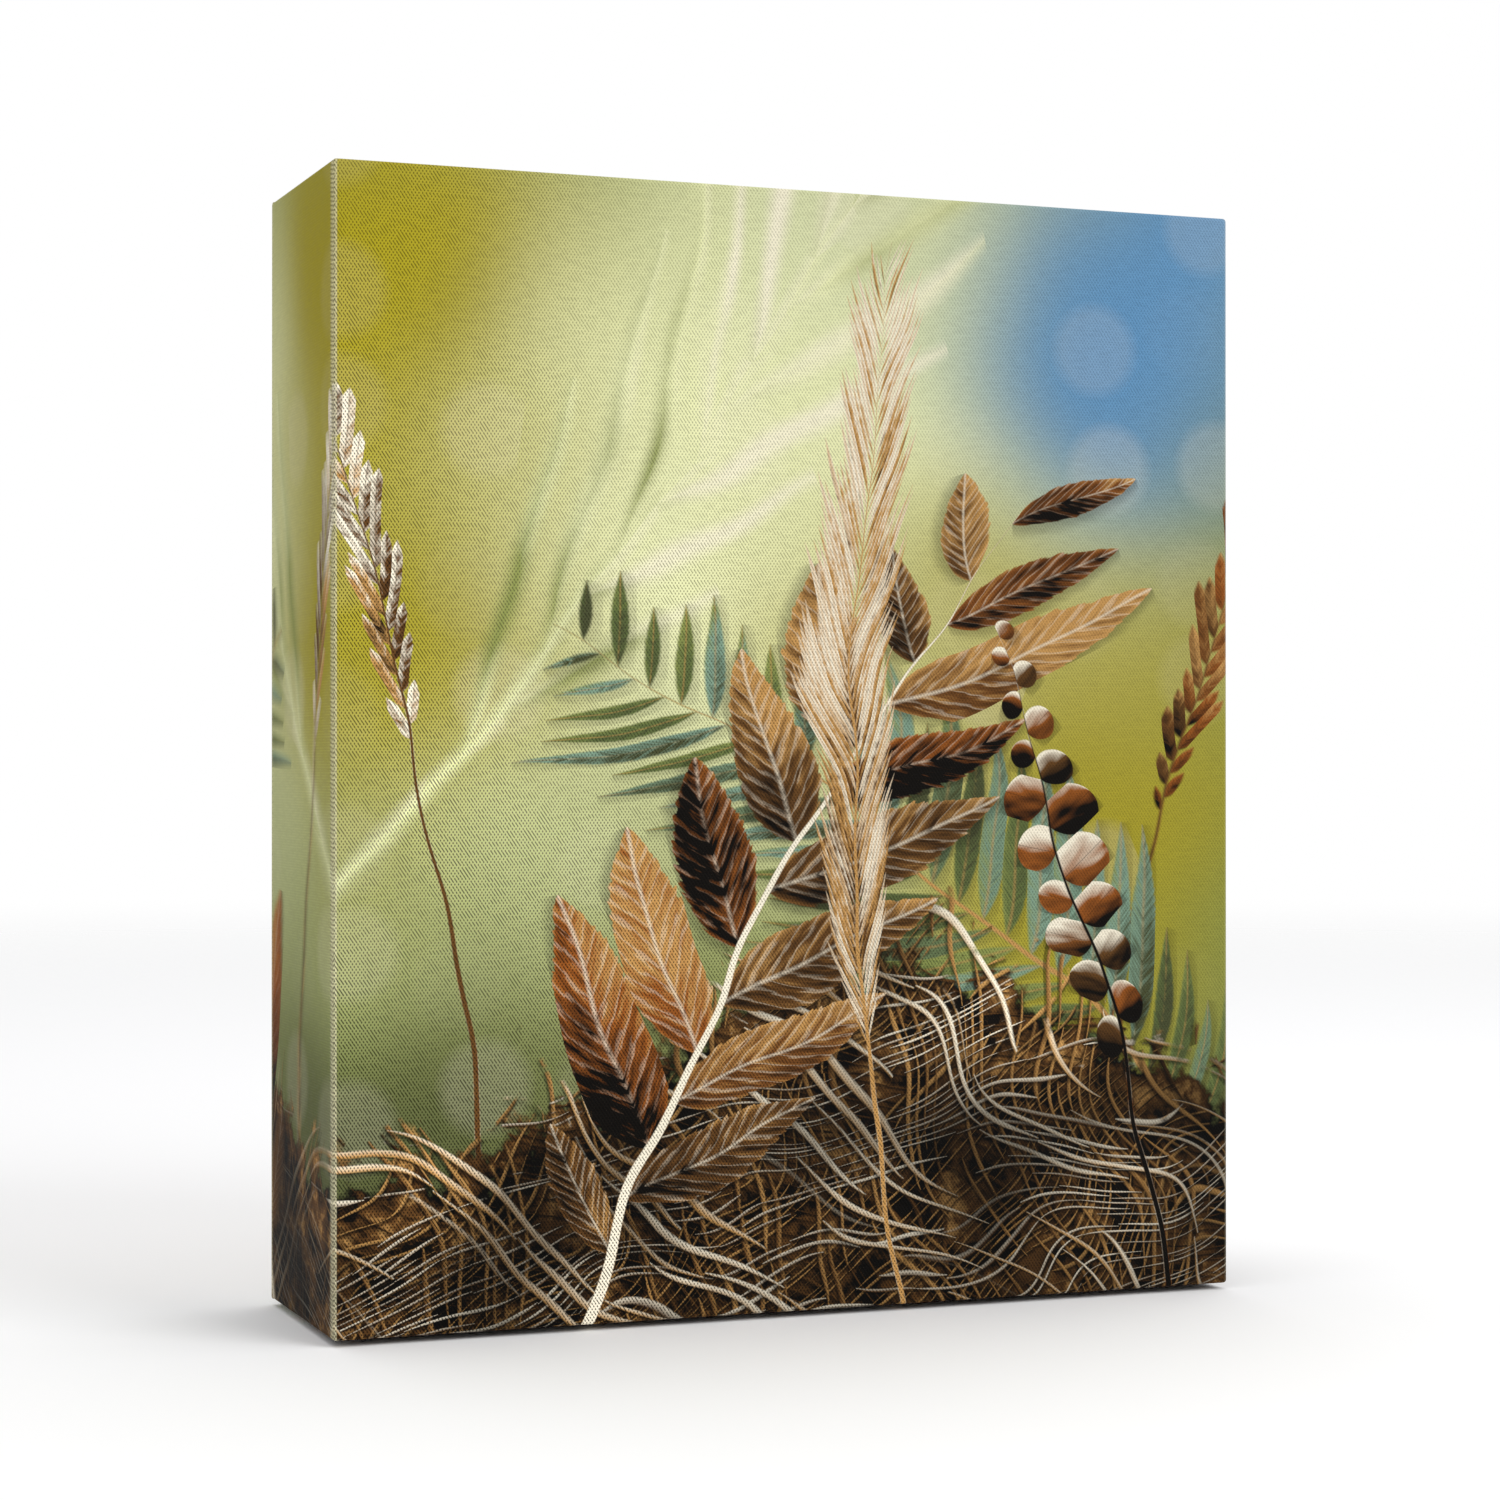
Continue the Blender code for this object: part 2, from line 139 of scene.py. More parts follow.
class WoodSettings(bpy.types.PropertyGroup):
    ring: length("Ring", "Width of a growth ring", 2.6 * MM)
    early: tint("Early wood", "Pale wood between the ring lines", "#dfc08e")
    late: tint("Late wood", "Darker ring lines", "#b98a50")


class FittingSettings(bpy.types.PropertyGroup):
    wire: tint("Staple wire", "Bright galvanised wire", "#c2c3c4")
    sheet: tint("V-nail sheet", "Oiled steel sheet", "#777a7d")
    plate: tint("Hanger plate", "Zinc-plated steel", "#dad8d0")


class StudioSettings(bpy.types.PropertyGroup):
    floor: tint("Floor", "The plain pale floor", "#fcfcfd")
    floor_radius: length("Floor radius", "Where the floor has faded into the background", 1.6)
    sky_light: amount("Sky light", "Even light from all round", 0.64)
    key_power: amount("Key power", "Power of the large lamp", 5.6, unit="POWER")
    top_power: amount("Top power", "Power of the lamp overhead", 9.0, unit="POWER")
    lens: amount("Lens", "Focal length, in millimetres", 77.57, unit="CAMERA")


# Settings that many nodes share. A mix of two colours takes its share at 0 and the colours at 6 and
# 7, and gives the result at 2. A mix from black by a number dims a colour without a change of
# socket kind, which keeps a long shader small enough to run.
EASED = {"interpolation_type": "SMOOTHSTEP"}
FLAT = {"noise_dimensions": "2D"}
IN_COLOUR = {"out": 2, "data_type": "RGBA"}
AS_LIGHT = {**IN_COLOUR, "clamp_factor": False}
BLACK = (0.0, 0.0, 0.0, 1.0)


def node(tree, kind, inputs=(), operation=None, out=0, **settings):
    """Adds a node with its settings, and gives each input a value or another node's output.

    Inputs are named in a dict, or listed in order: a map range takes the value, from min, from
    max, to min and to max.
    """
    made = tree.nodes.new("ShaderNode" + kind)
    if operation:
        made.operation = operation
    for name, value in settings.items():
        setattr(made, name, value)
    named = inputs.items() if isinstance(inputs, dict) else enumerate(inputs)
    for key, value in named:
        if isinstance(value, bpy.types.NodeSocket):
            tree.links.new(value, made.inputs[key])
        elif value is not None:
            made.inputs[key].default_value = value
    return made.outputs if out is None else made.outputs[out]


def rgba(colour):
    return (*colour, 1.0)


def place_in_mm(tree):
    """The place on the piece, in millimetres."""
    spot = node(tree, "TexCoord", out="Object")
    return node(tree, "VectorMath", {0: spot, "Scale": 1 / MM}, "SCALE")


def set_curve(curve, points):
    """Makes a curve rise from 0 and fall back to 0 through these points."""
    drawn = curve.mapping.curves[0].points
    drawn[0].location, drawn[1].location = (0.0, 0.0), (1.0, 0.0)
    for x, y in points:
        drawn.new(x, y)
    curve.mapping.update()


def pushed_about(tree, place, scale, reach):
    """The place moved about by slow noise, and one more slow number from the same noise."""
    slow = {"Vector": place, "Scale": scale, "Detail": 1.0}
    drawn = node(tree, "TexNoise", slow, out="Color", **FLAT)
    x, y, third = node(tree, "SeparateColor", [drawn], out=None)
    push = node(tree, "CombineXYZ", [x, y])
    moved = node(tree, "VectorMath", [push, (reach, reach, 0), place], "MULTIPLY_ADD")
    middle = (-reach / 2, -reach / 2, 0)
    return node(tree, "VectorMath", [moved, middle], "ADD"), third


def new_material(name):
    """An empty node material and its tree, with the output in place."""
    made = bpy.data.materials.new(name)
    made.use_nodes = True
    made.node_tree.nodes.clear()
    made.node_tree.nodes.new("ShaderNodeOutputMaterial").name = "surface"
    return made, made.node_tree


def finish_material(made, shader, colour):
    """The material with the shader linked to its surface and its colour shown in the viewport."""
    made.node_tree.links.new(shader, made.node_tree.nodes["surface"].inputs["Surface"])
    made.diffuse_color = rgba(colour)
    return made


def new_piece(name, mesh):
    """A visible piece that goes with the block, joined to its root body."""
    piece = bpy.data.objects.new(name, mesh)
    bpy.context.scene.collection.objects.link(piece)
    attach(piece, "root")
    return piece


# The cloth's shape


def block_size():
    """Half the width and height of the picture, its depth, and the middle of its front."""
    low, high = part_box("canvas")
    tuck = bpy.context.scene.canvas_cloth.tuck
    half = (high.x - low.x) / 2, (high.z - low.z) / 2 - tuck
    return *half, high.y - low.y - tuck, Vector((0.0, low.y, (low.z + high.z) / 2))


def smooth_step(x, start, end):
    t = np.clip((x - start) / (end - start), 0.0, 1.0)
    return t * t * (3.0 - 2.0 * t)


def spread(points, step):
    """Those points, with more between them so that no two are further apart than the step."""
    filled = [points[0]]
    for a, b in zip(points, points[1:]):
        count = max(1, math.ceil((b - a) / step - 1e-6))
        filled += [a + (b - a) * (i + 1) / count for i in range(count)]
    return filled


def round_fold(radius):
    """Where the mesh has lines across a fold, from the sharp edge inwards."""
    return [0.0, 0.25 * radius, 0.55 * radius, radius]


def grid_lines(half, radius, marks):
    """Where the cloth's mesh has lines across the block, symmetric about its middle.

    The fold has lines close together, and so does each mark, which is a distance in from the side.
    """
    near = spread([0.0, *marks, marks[-1] + 24 * MM], FINE)
    inset = [*round_fold(radius), *[x for x in near if x > radius * 1.2]]
    middle = spread([inset[-1], half], COARSE)[1:]
    rising = [-half + x for x in inset + middle[:-1]]
    return np.array([*rising, 0.0, *[-x for x in reversed(rising)]])


class Wrap:
    """The cloth round the block, as a grid on a sharp box that is then rounded and pushed about.

    Each point of the box has a place (x, depth behind the picture, z), with the middle of the
    picture at the origin. The grid leaves out the middle of the back, inside the flaps.
    """

    def __init__(self, cloth):
        self.cloth = cloth
        self.half_x, self.half_z, self.depth, self.middle = block_size()
        radius, flap = cloth.fold_radius, cloth.flap
        marks = [TUCK_START, TUCK_START + STEP, flap - STEP, flap]
        self.xs = grid_lines(self.half_x, radius, marks)
        self.zs = grid_lines(self.half_z, radius, marks)
        ends = round_fold(radius)
        inner = spread([radius, self.depth - radius], FINE)[1:-1]
        self.ys = np.array([*ends, *inner, *[self.depth - x for x in reversed(ends)]])
        self.index, self.places, self.faces, self.sides = {}, [], [], []
        self.lay_sides()
        self.place = np.array(self.places)

    def vertex(self, i, j, k):
        """The number of the point where these three lines meet."""
        key = (i, j, k)
        if key not in self.index:
            self.index[key] = len(self.places)
            self.places.append((self.xs[i], self.ys[j], self.zs[k]))
        return self.index[key]

    def quad(self, corners, side):
        self.faces.append([self.vertex(*corner) for corner in corners])
        self.sides.append(side)

    def on_flap(self, i, k):
        """Whether the cell behind from line i and line k is cloth, and which flap it is part of."""
        x = abs(self.xs[i] + self.xs[i + 1]) / 2
        z = abs(self.zs[k] + self.zs[k + 1]) / 2
        if z > self.half_z - self.cloth.flap:
            return "over"
        return "beside" if x > self.half_x - self.cloth.flap else None

    def lay_sides(self):
        """Lays the cells of all sides, seen from outside, and notes which side each is on."""
        last_x, last_y, last_z = len(self.xs) - 1, len(self.ys) - 1, len(self.zs) - 1
        for i in range(last_x):
            for k in range(last_z):
                a, b, c, d = (i, k), (i + 1, k), (i + 1, k + 1), (i, k + 1)
                self.quad([(p, 0, q) for p, q in (a, b, c, d)], "front")
                flap = self.on_flap(i, k)
                if flap:
                    self.quad([(p, last_y, q) for p, q in (d, c, b, a)], flap)
        for j in range(last_y):
            for k in range(last_z):
                ring = ((j, k), (j + 1, k), (j + 1, k + 1), (j, k + 1))
                self.quad([(last_x, p, q) for p, q in ring], "right")
                self.quad([(0, p, q) for p, q in reversed(ring)], "left")
            for i in range(last_x):
                ring = ((i, j), (i + 1, j), (i + 1, j + 1), (i, j + 1))
                self.quad([(p, q, last_z) for p, q in ring], "top")
                self.quad([(p, q, 0) for p, q in reversed(ring)], "bottom")

    def rounded(self):
        """Each point moved onto the rounded block, and the direction that faces out there."""
        radius = self.cloth.fold_radius
        x, y, z = self.place.T
        core = np.stack(
            [
                np.clip(x, radius - self.half_x, self.half_x - radius),
                np.clip(y, radius, self.depth - radius),
                np.clip(z, radius - self.half_z, self.half_z - radius),
            ],
            axis=1,
        )
        out = self.place - core
        out /= np.linalg.norm(out, axis=1, keepdims=True)
        return core + radius * out, out

    def tuck_height(self):
        """The layers folded under at each corner, on the top and bottom and behind."""
        x, y, z = self.place.T
        in_x, in_z = self.half_x - abs(x), self.half_z - abs(z)
        edge = smooth_step(in_x, TUCK_START, TUCK_START + STEP)
        # The layers end in a fold that slants back from 4 mm behind the front.
        slant = y - 4 * MM - in_x
        under = smooth_step(slant, -1.2 * MM, 1.6 * MM) * edge
        crease = 0.25 * np.exp(-((slant / (1.1 * MM)) ** 2)) * edge * (y > 6 * MM)
        above = (in_z < TINY) * (under + crease)
        flap = self.cloth.flap
        corner = 1.0 - smooth_step(in_x, 0.4 * self.depth, 0.95 * self.depth)
        behind = (y > self.depth - TINY) * (in_z < flap - HAIR) * corner * edge
        return np.maximum(above, behind) * self.cloth.tuck

    def pull_of_staples(self):
        """How the flaps dip under each staple's crown and stand up a little between them."""
        x, y, z = self.place.T
        behind = y > self.depth - TINY
        dip = np.zeros(len(x))
        for name in NODES:
            if not name.startswith("staple_"):
                continue
            low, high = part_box(name)
            centre, size = (low + high) / 2 - self.middle, high - low
            along = Vector((size.x, 0, size.z)).normalized()
            # A staple at a corner lies across the mitre, and the others lie along their bar.
            if name.count("_") == 2 and not name[-1].isdigit():
                along.z *= -math.copysign(1.0, centre.x * centre.z)
            elif size.x > size.z:
                along = Vector((1, 0, 0))
            else:
                along = Vector((0, 0, 1))
            to_x, to_z = x - centre.x, z - centre.z
            run = np.clip(to_x * along.x + to_z * along.z, -HALF_CROWN, HALF_CROWN)
            gap = np.hypot(to_x - run * along.x, to_z - run * along.z)
            dip = np.maximum(dip, np.exp(-((gap / DIP_WIDTH) ** 2)))
        return behind * (STAND_OFF - DIP * dip)

    def ripple(self):
        """Slight unevenness of the stretched cloth, a few centimetres long."""
        x, y, z = self.place.T
        waves = (
            np.sin(x / (19 * MM) + 1.3 * np.sin(z / (31 * MM)))
            * np.sin(z / (23 * MM) + 0.8 * np.sin(x / (27 * MM)) + 0.6)
            * np.cos(y / (17 * MM))
        )
        in_x, in_z = self.half_x - abs(x), self.half_z - abs(z)
        away = smooth_step(np.minimum(in_x, in_z), 0.0, 9 * MM)
        sag = away * smooth_step(self.depth / 2 - y, -TINY, TINY)
        return self.cloth.slack * (0.5 * waves * away - 1.2 * sag)

    def cut_edge(self):
        """How the flaps' cut edges wander, and dip to the wood along their last millimetre."""
        x, y, z = self.place.T
        flap, behind = self.cloth.flap, y > self.depth - TINY
        in_x, in_z = self.half_x - abs(x), self.half_z - abs(z)
        shift = np.zeros_like(self.place)
        wander_z = 0.30 * MM * np.sin(x / (6.1 * MM)) + 0.2 * MM * np.sin(x / (2.3 * MM) + z * 40)
        wander_x = 0.30 * MM * np.sin(z / (7.3 * MM)) + 0.2 * MM * np.sin(z / (2.7 * MM) + x * 40)
        near_z = np.exp(-(((in_z - flap) / (3 * MM)) ** 2)) * (in_z < flap + HAIR)
        near_x = np.exp(-(((in_x - flap) / (3 * MM)) ** 2)) * (in_z > flap + HAIR)
        shift[:, 2] = behind * near_z * wander_z
        shift[:, 0] = behind * near_x * wander_x
        last = (in_x > flap - HAIR) & (in_z > flap - HAIR) & behind
        shift[:, 1] = -0.2 * MM * last
        return shift

    def print_place(self, face, side):
        """Where each corner of a face falls in the printed picture, which is mirrored at the folds,
        and how far round the back it is."""
        found = []
        for v in face:
            x, y, z = self.places[v]
            turned = 0.0
            if side in ("left", "right"):
                x -= math.copysign(y, x)
            elif side in ("top", "bottom"):
                z -= math.copysign(y, z)
            elif side == "over":
                turned = self.half_z - abs(z)
                z -= math.copysign(self.depth, z)
            elif side == "beside":
                turned = self.half_x - abs(x)
                x -= math.copysign(self.depth, x)
            found.append((x, z, turned))
        return found

    def mesh(self):
        """The cloth's outer and inner faces, joined round its cut edges, and the picture on it."""
        base, out = self.rounded()
        raised = self.tuck_height() + self.pull_of_staples()
        both = base + self.cut_edge() + out * self.ripple()[:, None]
        outer = both + out * raised[:, None]
        inner = both - out * self.cloth.thickness
        middle = np.array(self.middle)
        points = np.concatenate([outer, inner]) + middle
        count = len(outer)
        faces = self.faces + [[v + count for v in reversed(face)] for face in self.faces]
        edges = {(face[n - 1], face[n]) for face in self.faces for n in range(4)}
        open_edges = [(a, b) for a, b in sorted(edges) if (b, a) not in edges]
        rims = [[b, a, a + count, b + count] for a, b in open_edges]
        mesh = bpy.data.meshes.new("printed_cloth")
        mesh.from_pydata(points.tolist(), [], faces + rims)
        raw = np.zeros(len(faces) + len(rims), dtype=np.int32)
        raw[len(self.faces) :] = 1
        corners = []
        for turn in (1, -1):
            for face, side in zip(self.faces, self.sides):
                corners += self.print_place(face[::turn], side)
        for a, b, _, _ in rims:
            corners += [(self.places[v][0], self.places[v][2], 1.0) for v in (a, b, b, a)]
        corners = np.array(corners)
        picture = mesh.uv_layers.new(name="picture")
        picture.data.foreach_set("uv", corners[:, :2].ravel())
        turned = mesh.attributes.new("turned_over", "FLOAT", "CORNER")
        turned.data.foreach_set("value", corners[:, 2].copy())
        mesh.polygons.foreach_set("material_index", raw)
        mesh.shade_smooth()
        mesh.set_sharp_from_angle(angle=math.radians(38))
        mesh.update()
        return mesh


# The printed picture: a botanical design in soft light, drawn with nodes, in millimetres

# What a sprig can be told, with its defaults. Foot, Lean and Bend lay out its stem, which Fade
# makes thinner. Leaves go from the First to the Last, each Spacing along the stem and Strip apart
# across themselves. Leaf is their length and Slimness, Roundness, Taper and Curl are their shape.
# Sine and Cotangent are of their angle to the stem. The rest is focus, light and detail.
SPRIG_INPUTS = {
    "NodeSocketVector": dict(Place=(0, 0, 0), Foot=(0, 0, 0)),
    "NodeSocketFloat": dict(
        Dapple=0.5, Lean=1.5, Bend=0.0, Fade=-0.01, First=0.0, Last=10.0, Stem=0.8, Spacing=10.0,
        Strip=5.0, Leaf=20.0, Slimness=0.25, Roundness=1.0, Taper=-0.35, Sine=0.7, Cotangent=1.0,
        Curl=0.0, Blur=0.14, Grain=0.8, Ribs=0.0, Crease=6.0, Shading=0.09, Seed=0.0,
    ),
    "NodeSocketColor": dict.fromkeys(("Dark", "Middle", "Odd", "Light", "Vein"), (0, 0, 0, 1)),
}


def sprig_group():
    """A stem with leaves, seeds or berries on both sides, each shaded and veined.

    The stem's own length and the way across it are t and n. A leaf leaves the stem at a fixed
    angle, so the point where it is rooted is found by sliding back along that angle.
    """
    g = bpy.data.node_groups.new("leafy_sprig", "ShaderNodeTree")
    for kind, sockets in SPRIG_INPUTS.items():
        for name, default in sockets.items():
            socket = g.interface.new_socket(name, in_out="INPUT", socket_type=kind)
            socket.default_value = default
    for name, kind in (("Colour", "Color"), ("Cover", "Float"), ("Shadow", "Float")):
        g.interface.new_socket(name, in_out="OUTPUT", socket_type="NodeSocket" + kind)
    given = g.nodes.new("NodeGroupInput").outputs
    result = g.nodes.new("NodeGroupOutput").inputs

    from_foot = node(g, "VectorMath", [given["Place"], given["Foot"]], "SUBTRACT")
    turned_back = {"Vector": from_foot, "Angle": given["Lean"]}
    along = node(g, "VectorRotate", turned_back, rotation_type="Z_AXIS", invert=True)
    t, n_straight, _ = node(g, "SeparateXYZ", [along], out=None)
    t_squared = node(g, "Math", [t, t], "MULTIPLY")
    n = node(g, "Math", [t_squared, given["Bend"], n_straight], "MULTIPLY_ADD")
    away = node(g, "Math", [n], "ABSOLUTE")
    hand = node(g, "Math", [n], "SIGN")

    # Which leaf, and where on it.
    slope = node(g, "Math", [away, given["Curl"], given["Cotangent"]], "MULTIPLY_ADD")
    slid = node(g, "Math", [away, slope], "MULTIPLY")
    rooted = node(g, "Math", [t, slid], "SUBTRACT")
    cells = node(g, "Math", [rooted, given["Spacing"]], "DIVIDE")
    cells = node(g, "Math", [hand, 0.25, cells], "MULTIPLY_ADD")
    cell = node(g, "Math", [cells], "FLOOR")
    part = node(g, "Math", [cells, cell], "SUBTRACT")
    part = node(g, "Math", [part, 0.5], "SUBTRACT")
    across = node(g, "Math", [part, given["Strip"]], "MULTIPLY")
    key = node(g, "CombineXYZ", [cell, hand, given["Seed"]])
    drawn = node(g, "TexWhiteNoise", {"Vector": key}, out="Color", noise_dimensions="3D")
    chance, bright, odd = node(g, "SeparateColor", [drawn], out=None)
    reach = node(g, "MapRange", [cell, given["First"], given["Last"]])
    taper = node(g, "FloatCurve", {"Value": reach})
    set_curve(taper.node, ((0.04, 0.55), (0.3, 1.0), (0.75, 0.8), (0.97, 0.35)))
    vary = node(g, "Math", [chance, 0.45, 0.72], "MULTIPLY_ADD")
    size = node(g, "Math", [taper, given["Leaf"]], "MULTIPLY")
    size = node(g, "Math", [size, vary], "MULTIPLY")
    out = node(g, "Math", [away, given["Sine"]], "DIVIDE")
    out = node(g, "Math", [across, given["Cotangent"], out], "MULTIPLY_ADD")
    u = node(g, "Math", [out, size], "DIVIDE")
    rest = node(g, "Math", [1.0, u], "SUBTRACT")
    lens = node(g, "Math", [u, rest], "MULTIPLY")
    bulge = node(g, "Math", [lens, given["Roundness"]], "POWER")

    # Fibres that slant off the midrib. They also make the leaf's rim a little uneven.
    beside = node(g, "Math", [across], "ABSOLUTE")
    slant = node(g, "Math", [beside, -1.3, out], "MULTIPLY_ADD")
    fine = node(g, "Math", [slant, given["Grain"]], "MULTIPLY")
    strand = node(g, "Math", [chance, 37.0, across], "MULTIPLY_ADD")
    strand = node(g, "Math", [strand, 0.3], "MULTIPLY")
    fibre = node(g, "CombineXYZ", [fine, strand])
    fibre = {"Vector": fibre, "Scale": 0.8, "Detail": 2.0, "Roughness": 0.62}
    fibre = node(g, "TexNoise", fibre, **FLAT)
    width = node(g, "Math", [size, given["Slimness"]], "MULTIPLY")
    width = node(g, "Math", [width, bulge], "MULTIPLY")
    uneven = node(g, "Math", [fibre, 0.35, 0.95], "MULTIPLY_ADD")
    uneven = node(g, "Math", [u, given["Taper"], uneven], "MULTIPLY_ADD")
    width = node(g, "Math", [width, uneven], "MULTIPLY")
    rim = node(g, "Math", [beside, width], "SUBTRACT")
    inward = node(g, "Math", [given["Blur"], -1.0], "MULTIPLY")
    leaf = node(g, "MapRange", [rim, given["Blur"], inward], **EASED)
    within = node(g, "Math", [lens, 0.0], "GREATER_THAN")
    leaf = node(g, "Math", [leaf, within], "MULTIPLY")

    # The stem, thinner towards its tip.
    share = node(g, "Math", [t, given["Fade"], 1.03], "MULTIPLY_ADD")
    stem_width = node(g, "Math", [share, given["Stem"]], "MULTIPLY")
    stem_rim = node(g, "Math", [away, stem_width], "SUBTRACT")
    stem = node(g, "MapRange", [stem_rim, given["Blur"], inward], **EASED)
    grows = node(g, "Math", [share, 0.0], "GREATER_THAN")
    stem = node(g, "Math", [stem, grows], "MULTIPLY")
    cover = node(g, "Math", [leaf, stem], "MAXIMUM")

    # Light and shade: the upper half of a leaf faces the light, its ribs stand up, its rim and
    # tip are thin and pale, and what is out of focus has no fine detail.
    crisp = node(g, "Math", [given["Blur"], 2.0, 0.8], "MULTIPLY_ADD")
    crisp = node(g, "Math", [1.0, crisp], "DIVIDE")
    tilt = node(g, "Math", [across, width], "DIVIDE")
    tilt = node(g, "Clamp", {"Value": tilt, "Min": -1.0, "Max": 1.0})
    folded = node(g, "Math", [tilt, given["Crease"]], "MULTIPLY")
    folded = node(g, "Clamp", {"Value": folded, "Min": -1.0, "Max": 1.0})
    ribs = node(g, "Math", [slant, size], "DIVIDE")
    ribs = node(g, "Math", [ribs, 75.0], "MULTIPLY")
    ribs = node(g, "Math", [fibre, 7.0, ribs], "MULTIPLY_ADD")
    ribs = node(g, "Math", [ribs], "SINE")
    thin = node(g, "MapRange", [rim, -0.9, 0.1, 0.0, 0.25])
    fine = node(g, "Math", [fibre, 1.25, -0.625], "MULTIPLY_ADD")
    fine = node(g, "Math", [ribs, given["Ribs"], fine], "MULTIPLY_ADD")
    fine = node(g, "Math", [folded, given["Shading"], fine], "MULTIPLY_ADD")
    fine = node(g, "Math", [fine, thin], "ADD")
    light = node(g, "Math", [fine, crisp, -0.6], "MULTIPLY_ADD")
    light = node(g, "Math", [bright, 0.44, light], "MULTIPLY_ADD")
    light = node(g, "Math", [tilt, 0.09, light], "MULTIPLY_ADD")
    light = node(g, "Math", [u, 0.25, light], "MULTIPLY_ADD")
    light = node(g, "Math", [given["Dapple"], 1.5, light], "MULTIPLY_ADD")
    low = node(g, "MapRange", [light, 0.0, 0.5])
    high = node(g, "MapRange", [light, 0.5, 1.05])
    turned = node(g, "MapRange", [odd, 0.45, 0.75])
    colour = node(g, "Mix", {0: turned, 6: given["Middle"], 7: given["Odd"]}, **IN_COLOUR)
    colour = node(g, "Mix", {0: low, 6: given["Dark"], 7: colour}, **IN_COLOUR)
    colour = node(g, "Mix", {0: high, 6: colour, 7: given["Light"]}, **IN_COLOUR)

    # The midrib and side ribs, and the stem over them.
    rib_width = node(g, "Math", [size, 0.014], "MULTIPLY")
    rib = node(g, "MapRange", [beside, rib_width, 0.0, 0.0, 0.6])
    side_rib = node(g, "MapRange", [ribs, 0.6, 1.0, 0.0, 5.0])
    side_rib = node(g, "Math", [side_rib, given["Ribs"]], "MULTIPLY")
    rib = node(g, "Math", [rib, side_rib], "MAXIMUM")
    seen = node(g, "Math", [low, crisp], "MULTIPLY")
    rib = node(g, "Math", [rib, seen], "MULTIPLY")
    rib = node(g, "Math", [rib, stem], "MAXIMUM")
    colour = node(g, "Mix", {0: rib, 6: colour, 7: given["Vein"]}, **IN_COLOUR)

    # The shadow that a leaf casts just below itself.
    halo = node(g, "MapRange", [rim, 3.0, 0.0], **EASED)
    lower = node(g, "MapRange", [tilt, 0.6, -0.6])
    halo = node(g, "Math", [halo, lower], "MULTIPLY")
    halo = node(g, "Math", [halo, within], "MULTIPLY")
    for name, made in (("Colour", colour), ("Cover", cover), ("Shadow", halo)):
        g.links.new(made, result[name])
    return g


def sprigs_behind(p):
    """The stems behind the bank of straw, from the furthest to the nearest. Places are in
    millimetres from the middle of the picture, and lean and leaf angle are in degrees."""
    return (
        # A pale spray, out of focus.
        dict(Foot=(-86, -30, 0), Lean=42, Bend=-0.0011, length=190, bare=0.1, Stem=1.2,
             Spacing=19, angle=24, Seed=4, Leaf=60, Slimness=0.026, Blur=2.0, Grain=0.1,
             Dark=p.green, Middle=p.pale, Odd=p.cream, Light=p.cream, Vein=p.pale, shade=0.0),
        # Ears of dry grass.
        dict(Foot=(-50, -94, 0), Lean=94, Bend=-0.0008, length=168, bare=0.56, Stem=0.55,
             Spacing=4.6, angle=24, Seed=1, Leaf=13, Slimness=0.2, Blur=0.12, Dark=p.bark,
             Middle=p.brown, Odd=p.tan, Light=p.cream, Vein=p.brown, shade=0.0),
        dict(Foot=(46, -94, 0), Lean=84, Bend=0.0012, length=158, bare=0.52, Stem=0.55,
             Spacing=4.4, angle=26, Seed=2, Leaf=12, Slimness=0.2, Blur=0.4, Dark=p.bark,
             Middle=p.rust, Odd=p.brown, Light=p.tan, Vein=p.brown, shade=0.0),
        # A fern frond with cool glints.
        dict(Foot=(84, -80, 0), Lean=128, Bend=-0.0016, length=150, bare=0.02, Stem=0.8,
             Spacing=5.4, angle=62, Seed=3, Leaf=30, Slimness=0.085, Curl=0.012, Blur=0.3,
             Grain=1.6, Dark=p.shade, Middle=p.moss, Odd=p.teal, Light=p.green, Vein=p.tan,
             shade=0.25),
    )


def sprigs_before(p):
    """The stems in front of the bank of straw, as in sprigs_behind."""
    return (
        # Broad autumn leaves.
        dict(Foot=(-40, -100, 0), Lean=72, Bend=0.0013, length=150, bare=0.03, Stem=1.0,
             Spacing=17.5, angle=46, Seed=6, Leaf=40, Slimness=0.19, Roundness=0.8, Curl=0.006,
             Blur=0.14, Grain=0.7, Ribs=0.05, Dark=p.bark, Middle=p.brown, Odd=p.rust,
             Light=p.tan, Vein=p.cream, shade=0.4),
        # Feathery grass.
        dict(Foot=(20, -100, 0), Lean=103, Bend=0.0011, length=172, bare=0.3, Stem=0.5,
             Spacing=1.9, angle=19, Seed=7, Leaf=24, Slimness=0.022, Blur=0.12, Grain=0.5,
             Dark=p.brown, Middle=p.tan, Odd=p.cream, Light=p.cream, Vein=p.tan, shade=0.0),
        # Berries.
        dict(Foot=(66, -98, 0), Lean=101, Bend=-0.0006, length=118, bare=0.35, Stem=0.6,
             Spacing=8.2, angle=58, Seed=8, Leaf=7.4, Slimness=0.47, Roundness=0.5, Taper=0.0,
             Blur=0.14, Grain=0.12, Crease=1.0, Shading=0.5, Dark=p.bark, Middle=p.rust,
             Odd=p.brown, Light=p.cream, Vein=p.bark, shade=0.4),
    )


